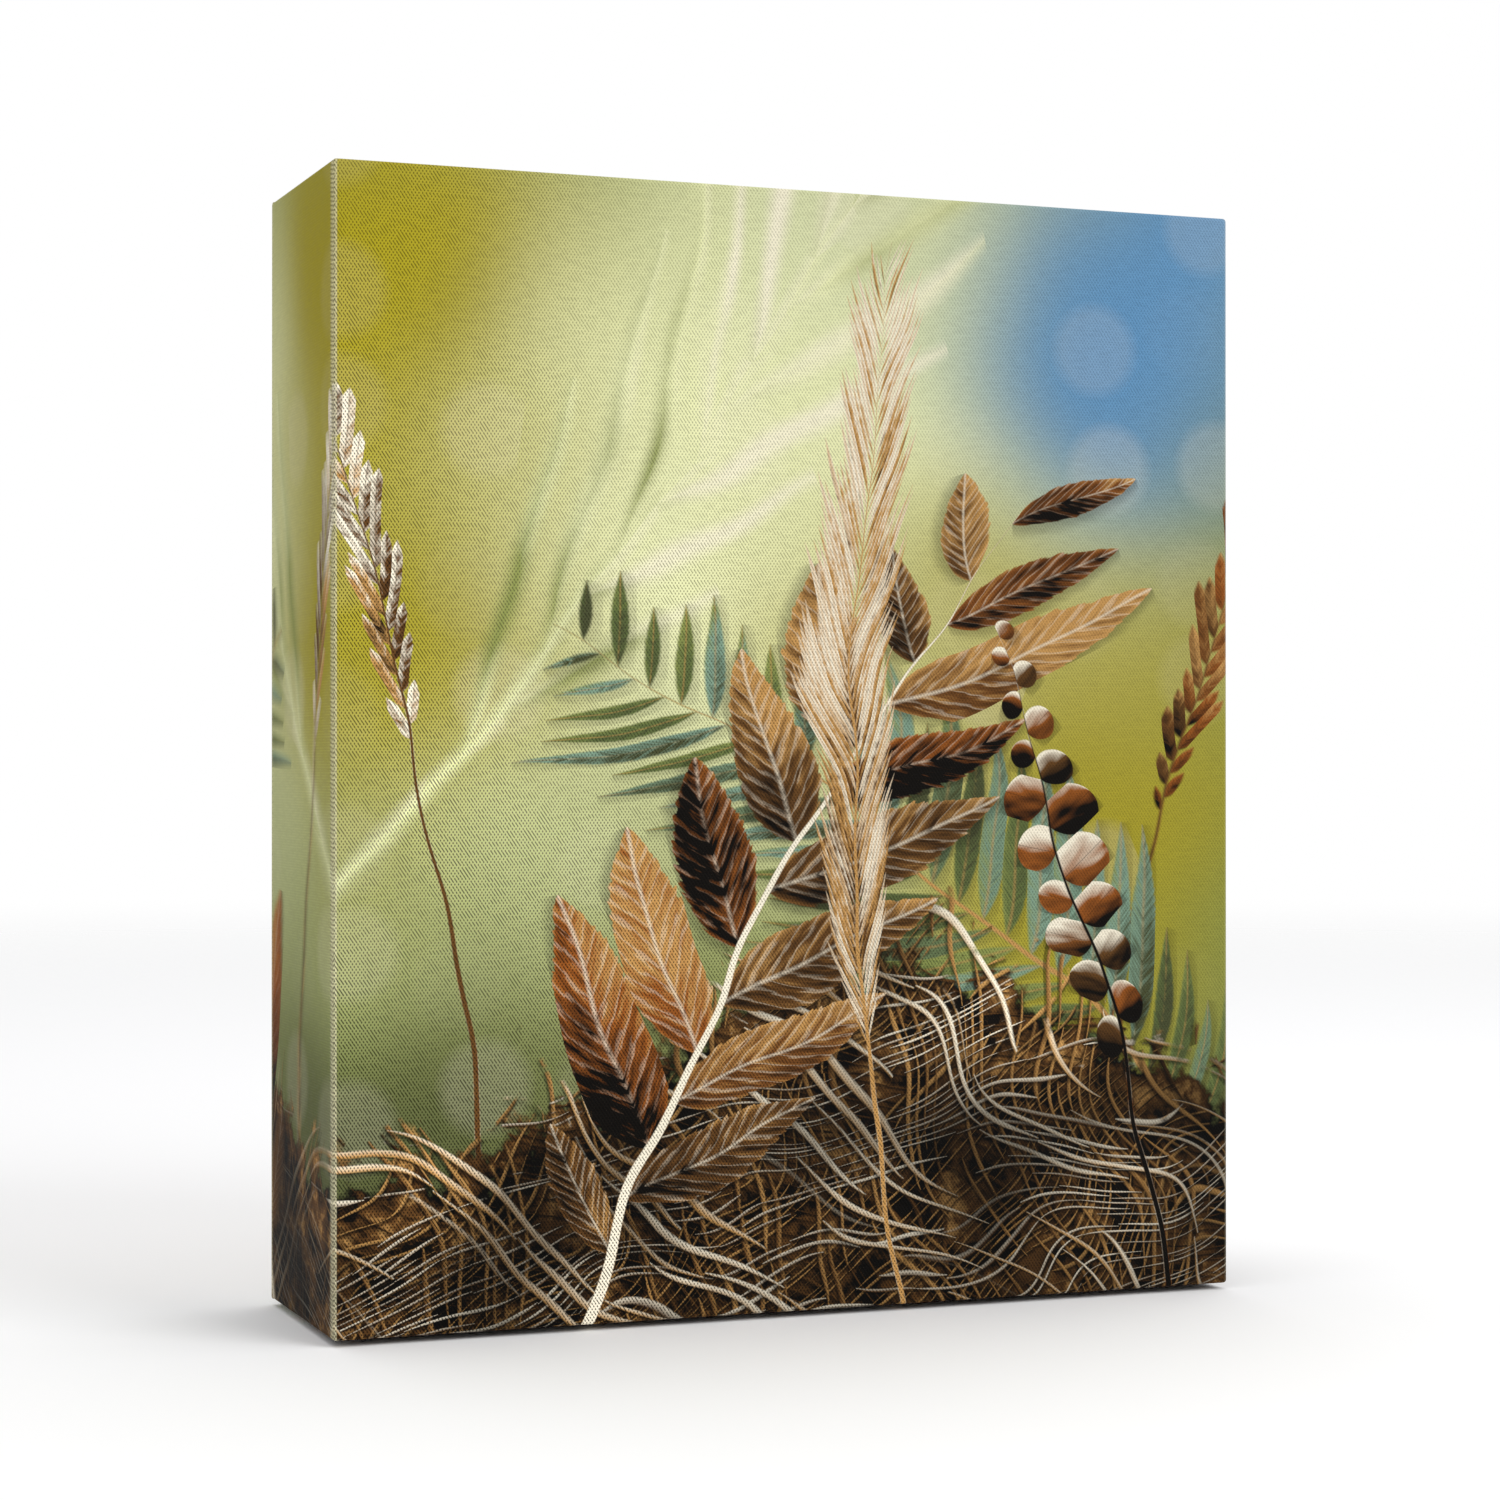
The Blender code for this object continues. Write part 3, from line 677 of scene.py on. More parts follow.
def soft_field(tree, place, centre, stretch, edge):
    """How much a soft patch of colour covers each point: 1 at its middle, 0 beyond its edge."""
    near = node(tree, "VectorMath", [place, centre], "SUBTRACT")
    near = node(tree, "VectorMath", [near, stretch], "MULTIPLY")
    far = node(tree, "VectorMath", [near], "LENGTH", out="Value")
    return node(tree, "MapRange", [far, edge, 0.0], interpolation_type="SMOOTHERSTEP")


def soft_background(tree, place, p):
    """Out-of-focus greens, a yellow glow, a corner of sky and faint discs of light."""
    drifted, _ = pushed_about(tree, place, 0.014, 70.0)
    colour = rgba(p.green)
    # Each patch has its colour, its middle, how it is squeezed, its reach in mm and its strength.
    fields = (
        (p.pale, (-8, 40, 0), (0.85, 0.75, 0), 96, 1.0),
        (p.yellow, (50, -4, 0), (0.9, 0.8, 0), 66, 0.9),
        (p.shade, (-66, -72, 0), (0.7, 1.0, 0), 66, 0.85),
        (p.sky, (70, 84, 0), (0.75, 1.0, 0), 68, 1.0),
        (p.shade, (86, -70, 0), (1.0, 1.1, 0), 56, 0.9),
        (p.yellow, (-78, 50, 0), (0.9, 0.7, 0), 66, 1.0),
    )
    for tone, centre, stretch, edge, most in fields:
        share = soft_field(tree, drifted, centre, stretch, edge)
        share = node(tree, "Math", [share, most], "MULTIPLY")
        colour = node(tree, "Mix", {0: share, 6: colour, 7: rgba(tone)}, **IN_COLOUR)
    # Discs of light, about 20 mm apart.
    spots = {"Vector": place, "Scale": 0.048, "Randomness": 0.6}
    spots = node(tree, "TexVoronoi", spots, out=None, voronoi_dimensions="2D")
    disc = node(tree, "MapRange", [spots["Distance"], 0.40, 0.28])
    chance, _, _ = node(tree, "SeparateColor", [spots["Color"]], out=None)
    share = node(tree, "MapRange", [chance, 0.4, 1.0, 0.0, 0.13])
    share = node(tree, "Math", [share, disc], "MULTIPLY")
    return node(tree, "Mix", {0: share, 6: colour, 7: rgba(p.cream)}, **IN_COLOUR)


def straws(tree, place, turn, apart, long, seed):
    """One layer of straws that lie about one way: where they are, their light, their shadow, and
    a number drawn for each.

    The plane is cut into rows and the rows into lengths, both in millimetres. Each length holds
    one straw, which chance sets off from the middle of its row and tilts.
    """
    lying = node(tree, "VectorRotate", {"Vector": place, "Angle": turn}, rotation_type="Z_AXIS")
    a, b, _ = node(tree, "SeparateXYZ", [lying], out=None)
    rows = node(tree, "Math", [b, 1 / apart], "MULTIPLY")
    row = node(tree, "Math", [rows], "FLOOR")
    slip = node(tree, "Math", [row, 0.618], "MULTIPLY")
    lengths = node(tree, "Math", [a, 1 / long, slip], "MULTIPLY_ADD")
    cell = node(tree, "Math", [lengths], "FLOOR")
    along = node(tree, "Math", [lengths, cell], "SUBTRACT")
    key = node(tree, "CombineXYZ", [row, cell, seed])
    drawn = node(tree, "TexWhiteNoise", {"Vector": key}, out="Color", noise_dimensions="3D")
    aside, tilt, chance = node(tree, "SeparateColor", [drawn], out=None)
    centred = node(tree, "Math", [along, 0.5], "SUBTRACT")
    tilt = node(tree, "Math", [tilt, 0.5], "SUBTRACT")
    middle = node(tree, "Math", [centred, tilt, 0.28], "MULTIPLY_ADD")
    middle = node(tree, "Math", [aside, 0.44, middle], "MULTIPLY_ADD")
    off = node(tree, "Math", [rows, row], "SUBTRACT")
    off = node(tree, "Math", [off, middle], "SUBTRACT")
    end = node(tree, "Math", [centred], "ABSOLUTE")
    thick = node(tree, "Math", [chance, -0.14, 0.16], "MULTIPLY_ADD")
    half = node(tree, "MapRange", [end, 0.5, 0.25, 0.01, thick])
    away = node(tree, "Math", [off], "ABSOLUTE")
    rim = node(tree, "Math", [away, half], "SUBTRACT")
    cover = node(tree, "MapRange", [rim, 0.07, -0.03])
    shadow = node(tree, "Math", [off, 0.16], "ADD")
    shadow = node(tree, "Math", [shadow], "ABSOLUTE")
    shadow = node(tree, "MapRange", [shadow, 0.34, 0.1])
    light = node(tree, "Math", [off, half], "DIVIDE")
    light = node(tree, "Math", [light, 0.3, 0.2], "MULTIPLY_ADD")
    light = node(tree, "Math", [aside, 0.6, light], "MULTIPLY_ADD")
    return cover, light, shadow, chance


def undergrowth(tree, place, soft, colour, p):
    """A mound of tangled dry straw across the foot of the picture, thinning out upwards."""
    bent, sun = pushed_about(tree, place, 0.024, 30.0)
    back = node(tree, "VectorMath", [bent, (-1, -1, 0), place], "MULTIPLY_ADD")
    back = node(tree, "VectorMath", [back, place], "ADD")
    sun = node(tree, "MapRange", [sun, 0.36, 0.64, 0.3, 1.2])

    # The ground under the straw, mottled every 8 mm or so, and the line where the bank ends.
    mottle = {"Vector": place, "Scale": 0.13, "Detail": 4.0, "Roughness": 0.62}
    mottle = node(tree, "TexNoise", mottle, **FLAT)
    ground = node(tree, "ValToRGB", [mottle])
    ramp = ground.node.color_ramp
    ramp.elements[0].position, ramp.elements[0].color = 0.44, rgba(p.bark)
    ramp.elements[1].position, ramp.elements[1].color = 0.72, rgba(p.tan)
    ramp.elements.new(0.60).color = rgba(p.brown)
    x, y, _ = node(tree, "SeparateXYZ", [place], out=None)
    off_middle = node(tree, "Math", [x, 16.0], "SUBTRACT")
    off_middle = node(tree, "Math", [off_middle], "ABSOLUTE")
    top = node(tree, "MapRange", [off_middle, 84.0, 0.0, -76.0, -46.0], **EASED)
    top = node(tree, "Math", [mottle, 26.0, top], "MULTIPLY_ADD")
    over = node(tree, "Math", [y, top], "SUBTRACT")
    bank = node(tree, "MapRange", [over, 2.0, -3.0], **EASED)
    higher = node(tree, "MapRange", [over, -45.0, -4.0, 0.5, 1.15])
    sun = node(tree, "Math", [sun, higher], "MULTIPLY")
    lit = node(tree, "Mix", {0: sun, 6: BLACK, 7: ground}, **AS_LIGHT)
    colour = node(tree, "Mix", {0: bank, 6: colour, 7: lit}, **IN_COLOUR)

    # Each layer has its place, its turn, how far apart and how long its straws are, the share that
    # is kept, its seed, its dark and its light, and how far it rises over the bank.
    sharp = node(tree, "Math", [soft, -0.75, 1.0], "MULTIPLY_ADD")
    layers = (
        (bent, 0.35, 1.6, 17.0, 0.8, 3.0, p.bark, p.brown, 4.0),
        (back, -0.75, 1.4, 15.0, 0.75, 31.0, p.bark, p.tan, 7.0),
        (back, 1.25, 2.3, 27.0, 0.6, 57.0, p.brown, p.tan, 13.0),
        (bent, -0.25, 1.3, 16.0, 0.6, 83.0, p.brown, p.cream, 3.0),
        (back, 0.6, 2.6, 34.0, 0.5, 109.0, p.tan, p.cream, 11.0),
    )
    for where, turn, apart, long, keep, seed, dark, bright, rise in layers:
        cover, light, shadow, chance = straws(tree, where, turn, apart, long, seed)
        limit = node(tree, "MapRange", [over, rise, rise - 18.0, 0.0, keep])
        there = node(tree, "Math", [limit, chance], "SUBTRACT")
        there = node(tree, "Math", [there, 9.0], "MULTIPLY", use_clamp=True)
        there = node(tree, "Math", [there, sharp], "MULTIPLY")
        dim = node(tree, "Math", [shadow, there], "MULTIPLY")
        dim = node(tree, "Math", [dim, -0.6, 1.0], "MULTIPLY_ADD")
        colour = node(tree, "Mix", {0: dim, 6: BLACK, 7: colour}, **AS_LIGHT)
        tone = node(tree, "Mix", {0: light, 6: rgba(dark), 7: rgba(bright)}, **IN_COLOUR)
        tone = node(tree, "Mix", {0: sun, 6: BLACK, 7: tone}, **AS_LIGHT)
        share = node(tree, "Math", [cover, there], "MULTIPLY")
        colour = node(tree, "Mix", {0: share, 6: colour, 7: tone}, **IN_COLOUR)
    return colour


def add_sprig(tree, group, place, dapple, soft, colour, made, p):
    """Draws one stem, as listed in sprigs_behind or sprigs_before, over what is there."""
    values = dict(made)
    angle, shade, run, bare = (values.pop(name) for name in ("angle", "shade", "length", "bare"))
    angle = math.radians(angle)
    spacing, roundness = values["Spacing"], values.get("Roundness", 1.0)
    values["Blur"] = node(tree, "Math", [soft, 1.8, values["Blur"]], "MULTIPLY_ADD")
    values["Lean"] = math.radians(values["Lean"])
    values["Slimness"] *= 4.0**roundness
    values["Strip"] = spacing * math.sin(angle)
    values.update(Sine=math.sin(angle), Cotangent=1 / math.tan(angle))
    values.update(Fade=-1 / run, First=bare * run / spacing, Last=run / spacing)
    values.update(Place=place, Dapple=dapple)
    for name in SPRIG_INPUTS["NodeSocketColor"]:
        values[name] = rgba(values[name])
    drawn = node(tree, "Group", values, out=None, node_tree=group)
    if shade:
        cast = node(tree, "Math", [drawn["Shadow"], shade], "MULTIPLY")
        colour = node(tree, "Mix", {0: cast, 6: colour, 7: rgba(p.bark)}, **IN_COLOUR)
    return node(tree, "Mix", {0: drawn["Cover"], 6: colour, 7: drawn["Colour"]}, **IN_COLOUR)


def picture(tree, place, moved, dapple, soft, p):
    """The whole printed design at a place given in millimetres from the middle of the picture.

    Round the sides it goes on mirrored and out of focus, by the share that soft gives. The stems
    are drawn at the moved place, so that no two leaves lie alike, in dappled light.
    """
    colour = soft_background(tree, place, p)
    group = sprig_group()
    for made in sprigs_behind(p):
        colour = add_sprig(tree, group, moved, dapple, soft, colour, made, p)
    colour = undergrowth(tree, place, soft, colour, p)
    for made in sprigs_before(p):
        colour = add_sprig(tree, group, moved, dapple, soft, colour, made, p)
    return colour


def yarn_noise(tree, place):
    """Thicker and thinner stretches of yarn, longer along the threads than across them, and how
    evenly the weave lies."""
    long_way = node(tree, "VectorMath", [place, (0.4, 1.5, 1.0)], "MULTIPLY")
    drawn = {"Vector": long_way, "Scale": 1.0, "Detail": 2.0}
    drawn = node(tree, "TexNoise", drawn, out="Color", **FLAT)
    yarn, even, _ = node(tree, "SeparateColor", [drawn], out=None)
    return yarn, even


def weave(tree, place, even, cloth):
    """Plain weave: the pits between its threads, drawn by two slanting waves that cross.

    Where both are as strong, the pits are dots, each row half a pitch along from the last. Where
    one of them fades, the dots join up into slanting lines. The pitches are a little coarser than
    a real cloth's, which is what a close render just shows. Also gives the relief, which is even.
    """
    x, y, _ = node(tree, "SeparateXYZ", [place], out=None)
    turns_x = node(tree, "Math", [x, 2 * math.pi * MM / cloth.dot_pitch], "MULTIPLY")
    turns_y = node(tree, "Math", [y, math.pi * MM / cloth.row_pitch], "MULTIPLY")
    falling = node(tree, "Math", [turns_x, turns_y], "ADD")
    rising = node(tree, "Math", [turns_x, turns_y], "SUBTRACT")
    falling = node(tree, "Math", [falling], "COSINE")
    rising = node(tree, "Math", [rising], "COSINE")
    weight = node(tree, "MapRange", [even, 0.4, 0.58, 0.1])
    both = node(tree, "Math", [rising, weight, falling], "MULTIPLY_ADD")
    total = node(tree, "Math", [weight, 1.0], "ADD")
    both = node(tree, "Math", [both, total], "DIVIDE")
    pits = node(tree, "MapRange", [both, 0.0, 0.9], **EASED)
    return pits, node(tree, "Math", [falling, rising], "ADD")


def cracked_and_lit_folds(tree, place, depth, turned, colour, cloth):
    """The upright front folds: a pale band, partly where the ink has cracked off the tops of the
    threads and partly a painted highlight of the rounded fold. It is cut by the slanting gaps
    between the threads that go over it, which carry painted shade, deepest towards the side. The
    gaps are a little further apart than a real cloth's, so that they show. The left fold has the
    strongest band. The folds behind are only a little paler."""
    half_x, _, end, _ = (side / MM for side in block_size())
    x, z, _ = node(tree, "SeparateXYZ", [place], out=None)
    inside = node(tree, "Math", [x], "ABSOLUTE")
    fold = node(tree, "Math", [half_x, inside], "SUBTRACT")
    # 1 where the pale band ends on the front, 0 at the fold and -1 where it ends on the side, where
    # the mirrored picture makes the distance to the fold the same as the depth.
    inwards, round_side = MM / cloth.fold_band_in, MM / cloth.fold_band_round
    over = node(tree, "Math", [fold, inwards], "MULTIPLY")
    over = node(tree, "Math", [depth, -inwards - round_side, over], "MULTIPLY_ADD")
    phase = node(tree, "Math", [over, 0.42, z], "MULTIPLY_ADD")
    phase = node(tree, "Math", [phase, 2 * math.pi * MM / cloth.crack_pitch], "MULTIPLY")
    gaps = node(tree, "Math", [phase], "COSINE")
    gaps = node(tree, "MapRange", [gaps, -0.3, 0.7])
    front = node(tree, "MapRange", [over, 1.2, 0.8])
    beside = node(tree, "MapRange", [over, -1.1, -0.5])
    band = node(tree, "Math", [front, beside], "MULTIPLY")
    left = node(tree, "Math", [x, 0.0], "LESS_THAN")
    left = node(tree, "MapRange", [left, 0.0, 1.0, 0.15])
    # On the top and bottom, further from the corner than this, there is no upright fold.
    reach = node(tree, "Math", [fold, depth], "ADD")
    far = 2 * cloth.fold_band_round / MM
    near = node(tree, "MapRange", [reach, far + 0.4, far])
    left = node(tree, "Math", [left, near], "MULTIPLY")
    band = node(tree, "Math", [band, left], "MULTIPLY")
    # The pale band: painted highlight of the rounded fold, together with cracked ink.
    cracked_and_lit = node(tree, "Math", [gaps, -0.12, 0.62], "MULTIPLY_ADD")
    cracked_and_lit = node(tree, "Math", [cracked_and_lit, band], "MULTIPLY")
    behind = node(tree, "MapRange", [turned, 0.9, 0.3])
    rear = node(tree, "MapRange", [depth, end - 0.9, end - 0.4, 0.0, 0.3])
    rear = node(tree, "Math", [rear, behind], "MULTIPLY")
    cracked_and_lit = node(tree, "Math", [cracked_and_lit, rear], "MAXIMUM")
    colour = node(tree, "Mix", {0: cracked_and_lit, 6: colour, 7: rgba(cloth.cracked_ink_and_highlight)}, **IN_COLOUR)
    # Painted shade in the gaps between the threads, round the fold on the side.
    painted_gap_shade = node(tree, "MapRange", [over, 0.5, -0.3, -0.06, -0.44])
    painted_gap_shade = node(tree, "Math", [painted_gap_shade, gaps], "MULTIPLY")
    around = node(tree, "MapRange", [over, -1.25, -0.85])
    around = node(tree, "Math", [around, front], "MULTIPLY")
    around = node(tree, "Math", [around, left], "MULTIPLY")
    painted_gap_shade = node(tree, "Math", [painted_gap_shade, around, 1.0], "MULTIPLY_ADD")
    return node(tree, "Mix", {0: painted_gap_shade, 6: BLACK, 7: colour}, **AS_LIGHT)


def printed_canvas_material(cloth, p):
    """Matte inkjet print on plain-woven cotton canvas.

    The weave's pits are painted darker, as painted shade between the threads, and the tops of the
    threads a little lighter, as painted light; the yarn's unevenness shows as faint streaks. Along
    the front folds the ink is cracked and pale, and the pale band is also a painted highlight of
    the rounded fold. Round the sides the weave and the picture are softer. Behind, the print stops
    and the white coating shows. No gloss, only a dull, broad shine.
    """
    made, tree = new_material("inkjet_printed_cotton_canvas")
    uv = node(tree, "UVMap", out=0, uv_map="picture")
    place = node(tree, "VectorMath", {0: uv, "Scale": 1 / MM}, "SCALE")
    spot = node(tree, "TexCoord", out="Object")
    depth = node(tree, "VectorMath", [spot, (0, 1 / MM, 0)], "DOT_PRODUCT", out="Value")
    depth = node(tree, "Math", [depth, block_size()[3].y / MM], "SUBTRACT")
    soft = node(tree, "MapRange", [depth, 0.8, 4.0])
    moved, dapple = pushed_about(tree, place, 0.028, 7.0)
    colour = picture(tree, place, moved, dapple, soft, p)
    yarn, even = yarn_noise(tree, place)
    pits, relief = weave(tree, place, even, cloth)

    # Where the print ends behind, with a slightly uneven line.
    turned = node(tree, "Attribute", out="Fac", attribute_name="turned_over")
    turned = node(tree, "Math", [turned, 1 / MM], "MULTIPLY")
    ragged = node(tree, "Math", [yarn, 0.5, turned], "MULTIPLY_ADD")
    bleed = cloth.bleed / MM
    bare = node(tree, "MapRange", [ragged, bleed, bleed + 0.3])
    colour = node(tree, "Mix", {0: bare, 6: colour, 7: rgba(cloth.white)}, **IN_COLOUR)
    colour = cracked_and_lit_folds(tree, place, depth, turned, colour, cloth)

    # Thread by thread light and dark, stronger in some patches than in others, faint on the sides:
    # painted shade in the pits between the threads and painted light on their tops.
    painted_gap_shade = node(tree, "MapRange", [dapple, 0.38, 0.56, 0.75 * cloth.pits, cloth.pits])
    across = node(tree, "VectorMath", [place, (1.0, 0.5, 0.0)], "DOT_PRODUCT", out="Value")
    faint = node(tree, "MapRange", [across, -85.0, 45.0, 1.0, 0.2])
    faint = node(tree, "Math", [soft, -0.6, faint], "MULTIPLY_ADD")
    faint = node(tree, "Math", [faint, 0.15], "MAXIMUM")
    painted_gap_shade = node(tree, "Math", [painted_gap_shade, faint], "MULTIPLY")
    level = node(tree, "Math", [0.38, pits], "SUBTRACT")
    dim = node(tree, "Math", [level, painted_gap_shade, cloth.ink - 0.06], "MULTIPLY_ADD")
    dim = node(tree, "Math", [yarn, 0.12, dim], "MULTIPLY_ADD")
    colour = node(tree, "Mix", {0: dim, 6: BLACK, 7: colour}, **AS_LIGHT)
    bump = {"Strength": 0.4, "Distance": 0.06 * MM, "Height": relief}
    bump = node(tree, "Bump", bump, invert=True)
    rough = node(tree, "MapRange", [yarn, 0.0, 1.0, 0.64, 0.80])
    shader = node(
        tree,
        "BsdfPrincipled",
        {"Base Color": colour, "Roughness": rough, "Normal": bump, "Specular IOR Level": 0.09},
    )
    return finish_material(made, shader, p.green)


def raw_canvas_material(cloth):
    """The uncoated back of cotton duck: cream, dull, with slubs and brown specks of seed husk."""
    made, tree = new_material("unprimed_cotton_duck")
    place = place_in_mm(tree)
    x, _, z = node(tree, "SeparateXYZ", [place], out=None)
    flat = node(tree, "CombineXYZ", [x, z])
    yarn, even = yarn_noise(tree, flat)
    pits, _ = weave(tree, flat, even, cloth)
    specks = node(tree, "TexVoronoi", {"Vector": place, "Scale": 0.22, "Randomness": 1.0})
    husk = node(tree, "MapRange", [specks, 0.10, 0.05])
    # Painted shade in the weave's pits; the slubs of yarn are a little lighter.
    dim = node(tree, "Math", [pits, -0.28, 1.0], "MULTIPLY_ADD")
    dim = node(tree, "Math", [yarn, 0.16, dim], "MULTIPLY_ADD")
    dim = node(tree, "Math", [dim, 0.08], "SUBTRACT")
    colour = node(tree, "Mix", {0: husk, 6: rgba(cloth.raw), 7: rgba(cloth.husk)}, **IN_COLOUR)
    colour = node(tree, "Mix", {0: dim, 6: BLACK, 7: colour}, **AS_LIGHT)
    height = node(tree, "Math", [yarn, pits], "SUBTRACT")
    bump = node(tree, "Bump", {"Strength": 0.6, "Distance": 0.15 * MM, "Height": height})
    shader = node(
        tree,
        "BsdfPrincipled",
        {
            "Base Color": colour,
            "Roughness": 0.9,
            "Normal": bump,
            "Specular IOR Level": 0.2,
            "Sheen Weight": 0.15,
            "Sheen Roughness": 0.6,
        },
    )
    return finish_material(made, shader, cloth.raw)


class CANVASPRINT_OT_cloth(bpy.types.Operator):
    """Wraps the printed cloth round the bars, with its corners tucked under and its flaps behind"""

    bl_idname = "canvas_print.cloth"
    bl_label = "Printed cloth"

    def execute(self, context):
        cloth, colours = context.scene.canvas_cloth, context.scene.canvas_picture
        wrap = Wrap(cloth)
        mesh = wrap.mesh()
        mesh.materials.append(printed_canvas_material(cloth, colours))
        mesh.materials.append(raw_canvas_material(cloth))
        piece = new_piece("printed_cloth", mesh)
        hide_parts("canvas")
        return {"FINISHED"}


def thread_material(cloth):
    """Loose cotton yarn: off-white, dull and fuzzy, with uneven dye take-up along it."""
    made, tree = new_material("loose_cotton_yarn")
    spot = node(tree, "TexCoord", out="Object")
    patch = node(tree, "TexNoise", {"Vector": spot, "Scale": 900.0, "Detail": 1.0})
    tone = node(tree, "Mix", {0: patch, 6: rgba(cloth.raw), 7: rgba(cloth.white)}, **IN_COLOUR)
    bump = node(tree, "Bump", {"Strength": 0.4, "Distance": 0.05 * MM, "Height": patch})
    shader = node(
        tree,
        "BsdfPrincipled",
        {"Base Color": tone, "Roughness": 0.9, "Normal": bump, "Sheen Weight": 0.2},
    )
    return finish_material(made, shader, cloth.white)


def lay_thread(curve, root, way, out, long, lean):
    """One loose thread that leans along the edge and thins and drops towards its tip."""
    spline = curve.splines.new("POLY")
    spline.points.add(3)
    for n, point in enumerate(spline.points):
        share = n / 3
        reach = (THREAD_ROOT + long) * share
        spot = root + out * reach + way * (lean * long * share**2)
        spot.y -= 0.15 * MM * share
        point.co = (*spot, 1.0)
        point.radius = 1.0 - 0.45 * share


class CANVASPRINT_OT_threads(bpy.types.Operator):
    """Lays the loose thread ends along the flaps' cut edges"""

    bl_idname = "canvas_print.threads"
    bl_label = "Frayed threads"

    def execute(self, context):
        cloth = context.scene.canvas_cloth
        half_x, half_z, depth, middle = block_size()
        rng = np.random.default_rng(11)
        curve = bpy.data.curves.new("frayed_threads", "CURVE")
        curve.dimensions = "3D"
        curve.bevel_depth = 0.09 * MM  # half a thread's thickness
        curve.bevel_resolution = 1
        curve.use_fill_caps = True
        inner_x, inner_z = half_x - cloth.flap, half_z - cloth.flap
        edges = (
            (Vector((-inner_x, 0, inner_z)), Vector((1, 0, 0)), Vector((0, 0, -1)), 2 * inner_x),
            (Vector((inner_x, 0, -inner_z)), Vector((-1, 0, 0)), Vector((0, 0, 1)), 2 * inner_x),
            (Vector((-inner_x, 0, -inner_z)), Vector((0, 0, 1)), Vector((1, 0, 0)), 2 * inner_z),
            (Vector((inner_x, 0, inner_z)), Vector((0, 0, -1)), Vector((-1, 0, 0)), 2 * inner_z),
        )
        for start, way, out, run in edges:
            at = END_GAP
            while at < run - END_GAP:
                # About one thread in eight is a long one.
                long = rng.uniform(0.5, 1.6) * MM * (1.8 if rng.random() < 0.12 else 1.0)
                root = middle + start + way * at - out * THREAD_ROOT
                root.y += depth - 0.3 * MM
                lay_thread(curve, root, way, out, long, rng.uniform(-0.6, 0.6))
                at += rng.uniform(0.8, 3.2) * MM
        drawn = bpy.data.objects.new("threads_as_curves", curve)
        context.scene.collection.objects.link(drawn)
        graph = context.evaluated_depsgraph_get()
        mesh = bpy.data.meshes.new_from_object(drawn.evaluated_get(graph))
        bpy.data.objects.remove(drawn)
        mesh.materials.clear()
        mesh.materials.append(thread_material(cloth))
        mesh.shade_smooth()
        new_piece("frayed_threads", mesh)
        return {"FINISHED"}


def pine_material(name, wood, turn):
    """Planed pine, without varnish: pale early wood, narrow darker late wood, fine lengthwise
    fibre, dull with a slight shine along the late wood. The grain runs along the bar."""
    made, tree = new_material(name)
    place = place_in_mm(tree)
    # The bar lies along Z after this turn about Y.
    lying = node(tree, "VectorRotate", {"Vector": place, "Angle": turn}, rotation_type="Y_AXIS")
    slow = node(tree, "VectorMath", [lying, (0.05, 0.05, 0.006)], "MULTIPLY")
    drift = node(tree, "TexNoise", {"Vector": slow, "Scale": 1.0, "Detail": 2.0}, out="Color")
    drift = node(tree, "VectorMath", [drift, (0.5, 0.5, 0.5)], "SUBTRACT")
    drift = node(tree, "VectorMath", {0: drift, "Scale": 16.0}, "SCALE")
    moved = node(tree, "VectorMath", [lying, drift], "ADD")
    pith = node(tree, "VectorMath", [moved, (31.0, 46.0, 0.0)], "ADD")
    flat = node(tree, "VectorMath", [pith, (1.0, 1.0, 0.0)], "MULTIPLY")
    radius = node(tree, "VectorMath", [flat], "LENGTH", out="Value")
    rings = node(tree, "Math", [radius, MM / wood.ring], "MULTIPLY")
    ring = node(tree, "Math", [rings], "FRACT")
    late = node(tree, "FloatCurve", {"Value": ring})
    set_curve(late.node, ((0.45, 0.08), (0.82, 0.75), (0.93, 1.0)))
    thin = node(tree, "VectorMath", [lying, (3.2, 3.2, 0.09)], "MULTIPLY")
    fibre = node(tree, "TexNoise", {"Vector": thin, "Scale": 1.0, "Detail": 3.0, "Roughness": 0.6})
    share = node(tree, "Math", [fibre, 0.7, late], "MULTIPLY_ADD")
    share = node(tree, "Math", [share, 0.35], "SUBTRACT")
    colour = node(tree, "Mix", {0: share, 6: rgba(wood.early), 7: rgba(wood.late)}, **IN_COLOUR)
    height = node(tree, "Math", [late, 0.4, fibre], "MULTIPLY_ADD")
    bump = node(tree, "Bump", {"Strength": 0.35, "Distance": 0.12 * MM, "Height": height})
    rough = node(tree, "MapRange", [late, 0.0, 1.0, 0.68, 0.52])
    shader = node(
        tree,
        "BsdfPrincipled",
        {"Base Color": colour, "Roughness": rough, "Normal": bump, "Specular IOR Level": 0.4},
    )
    return finish_material(made, shader, wood.early)


def soften_edges(obj):
    """Eases a carried piece's sharp edges, so that they catch the light."""
    ease = obj.modifiers.new("eased_edges", "BEVEL")
    ease.width = 0.12 * MM
    ease.segments = 2
    ease.limit_method = "ANGLE"
    ease.angle_limit = math.radians(40)
    ease.harden_normals = False


def dress(obj, material):
    obj.data.materials.clear()
    obj.data.materials.append(material)


class CANVASPRINT_OT_bars(bpy.types.Operator):
    """Gives the four stretcher bars their planed pine"""

    bl_idname = "canvas_print.bars"
    bl_label = "Stretcher bars"

    def execute(self, context):
        wood = context.scene.canvas_wood
        upright = pine_material("planed_pine_upright", wood, 0.0)
        level = pine_material("planed_pine_level", wood, math.pi / 2)
        for side in ("left", "right"):
            dress(NODES[f"bar_{side}"], upright)
        for side in ("top", "bottom"):
            dress(NODES[f"bar_{side}"], level)
        return {"FINISHED"}


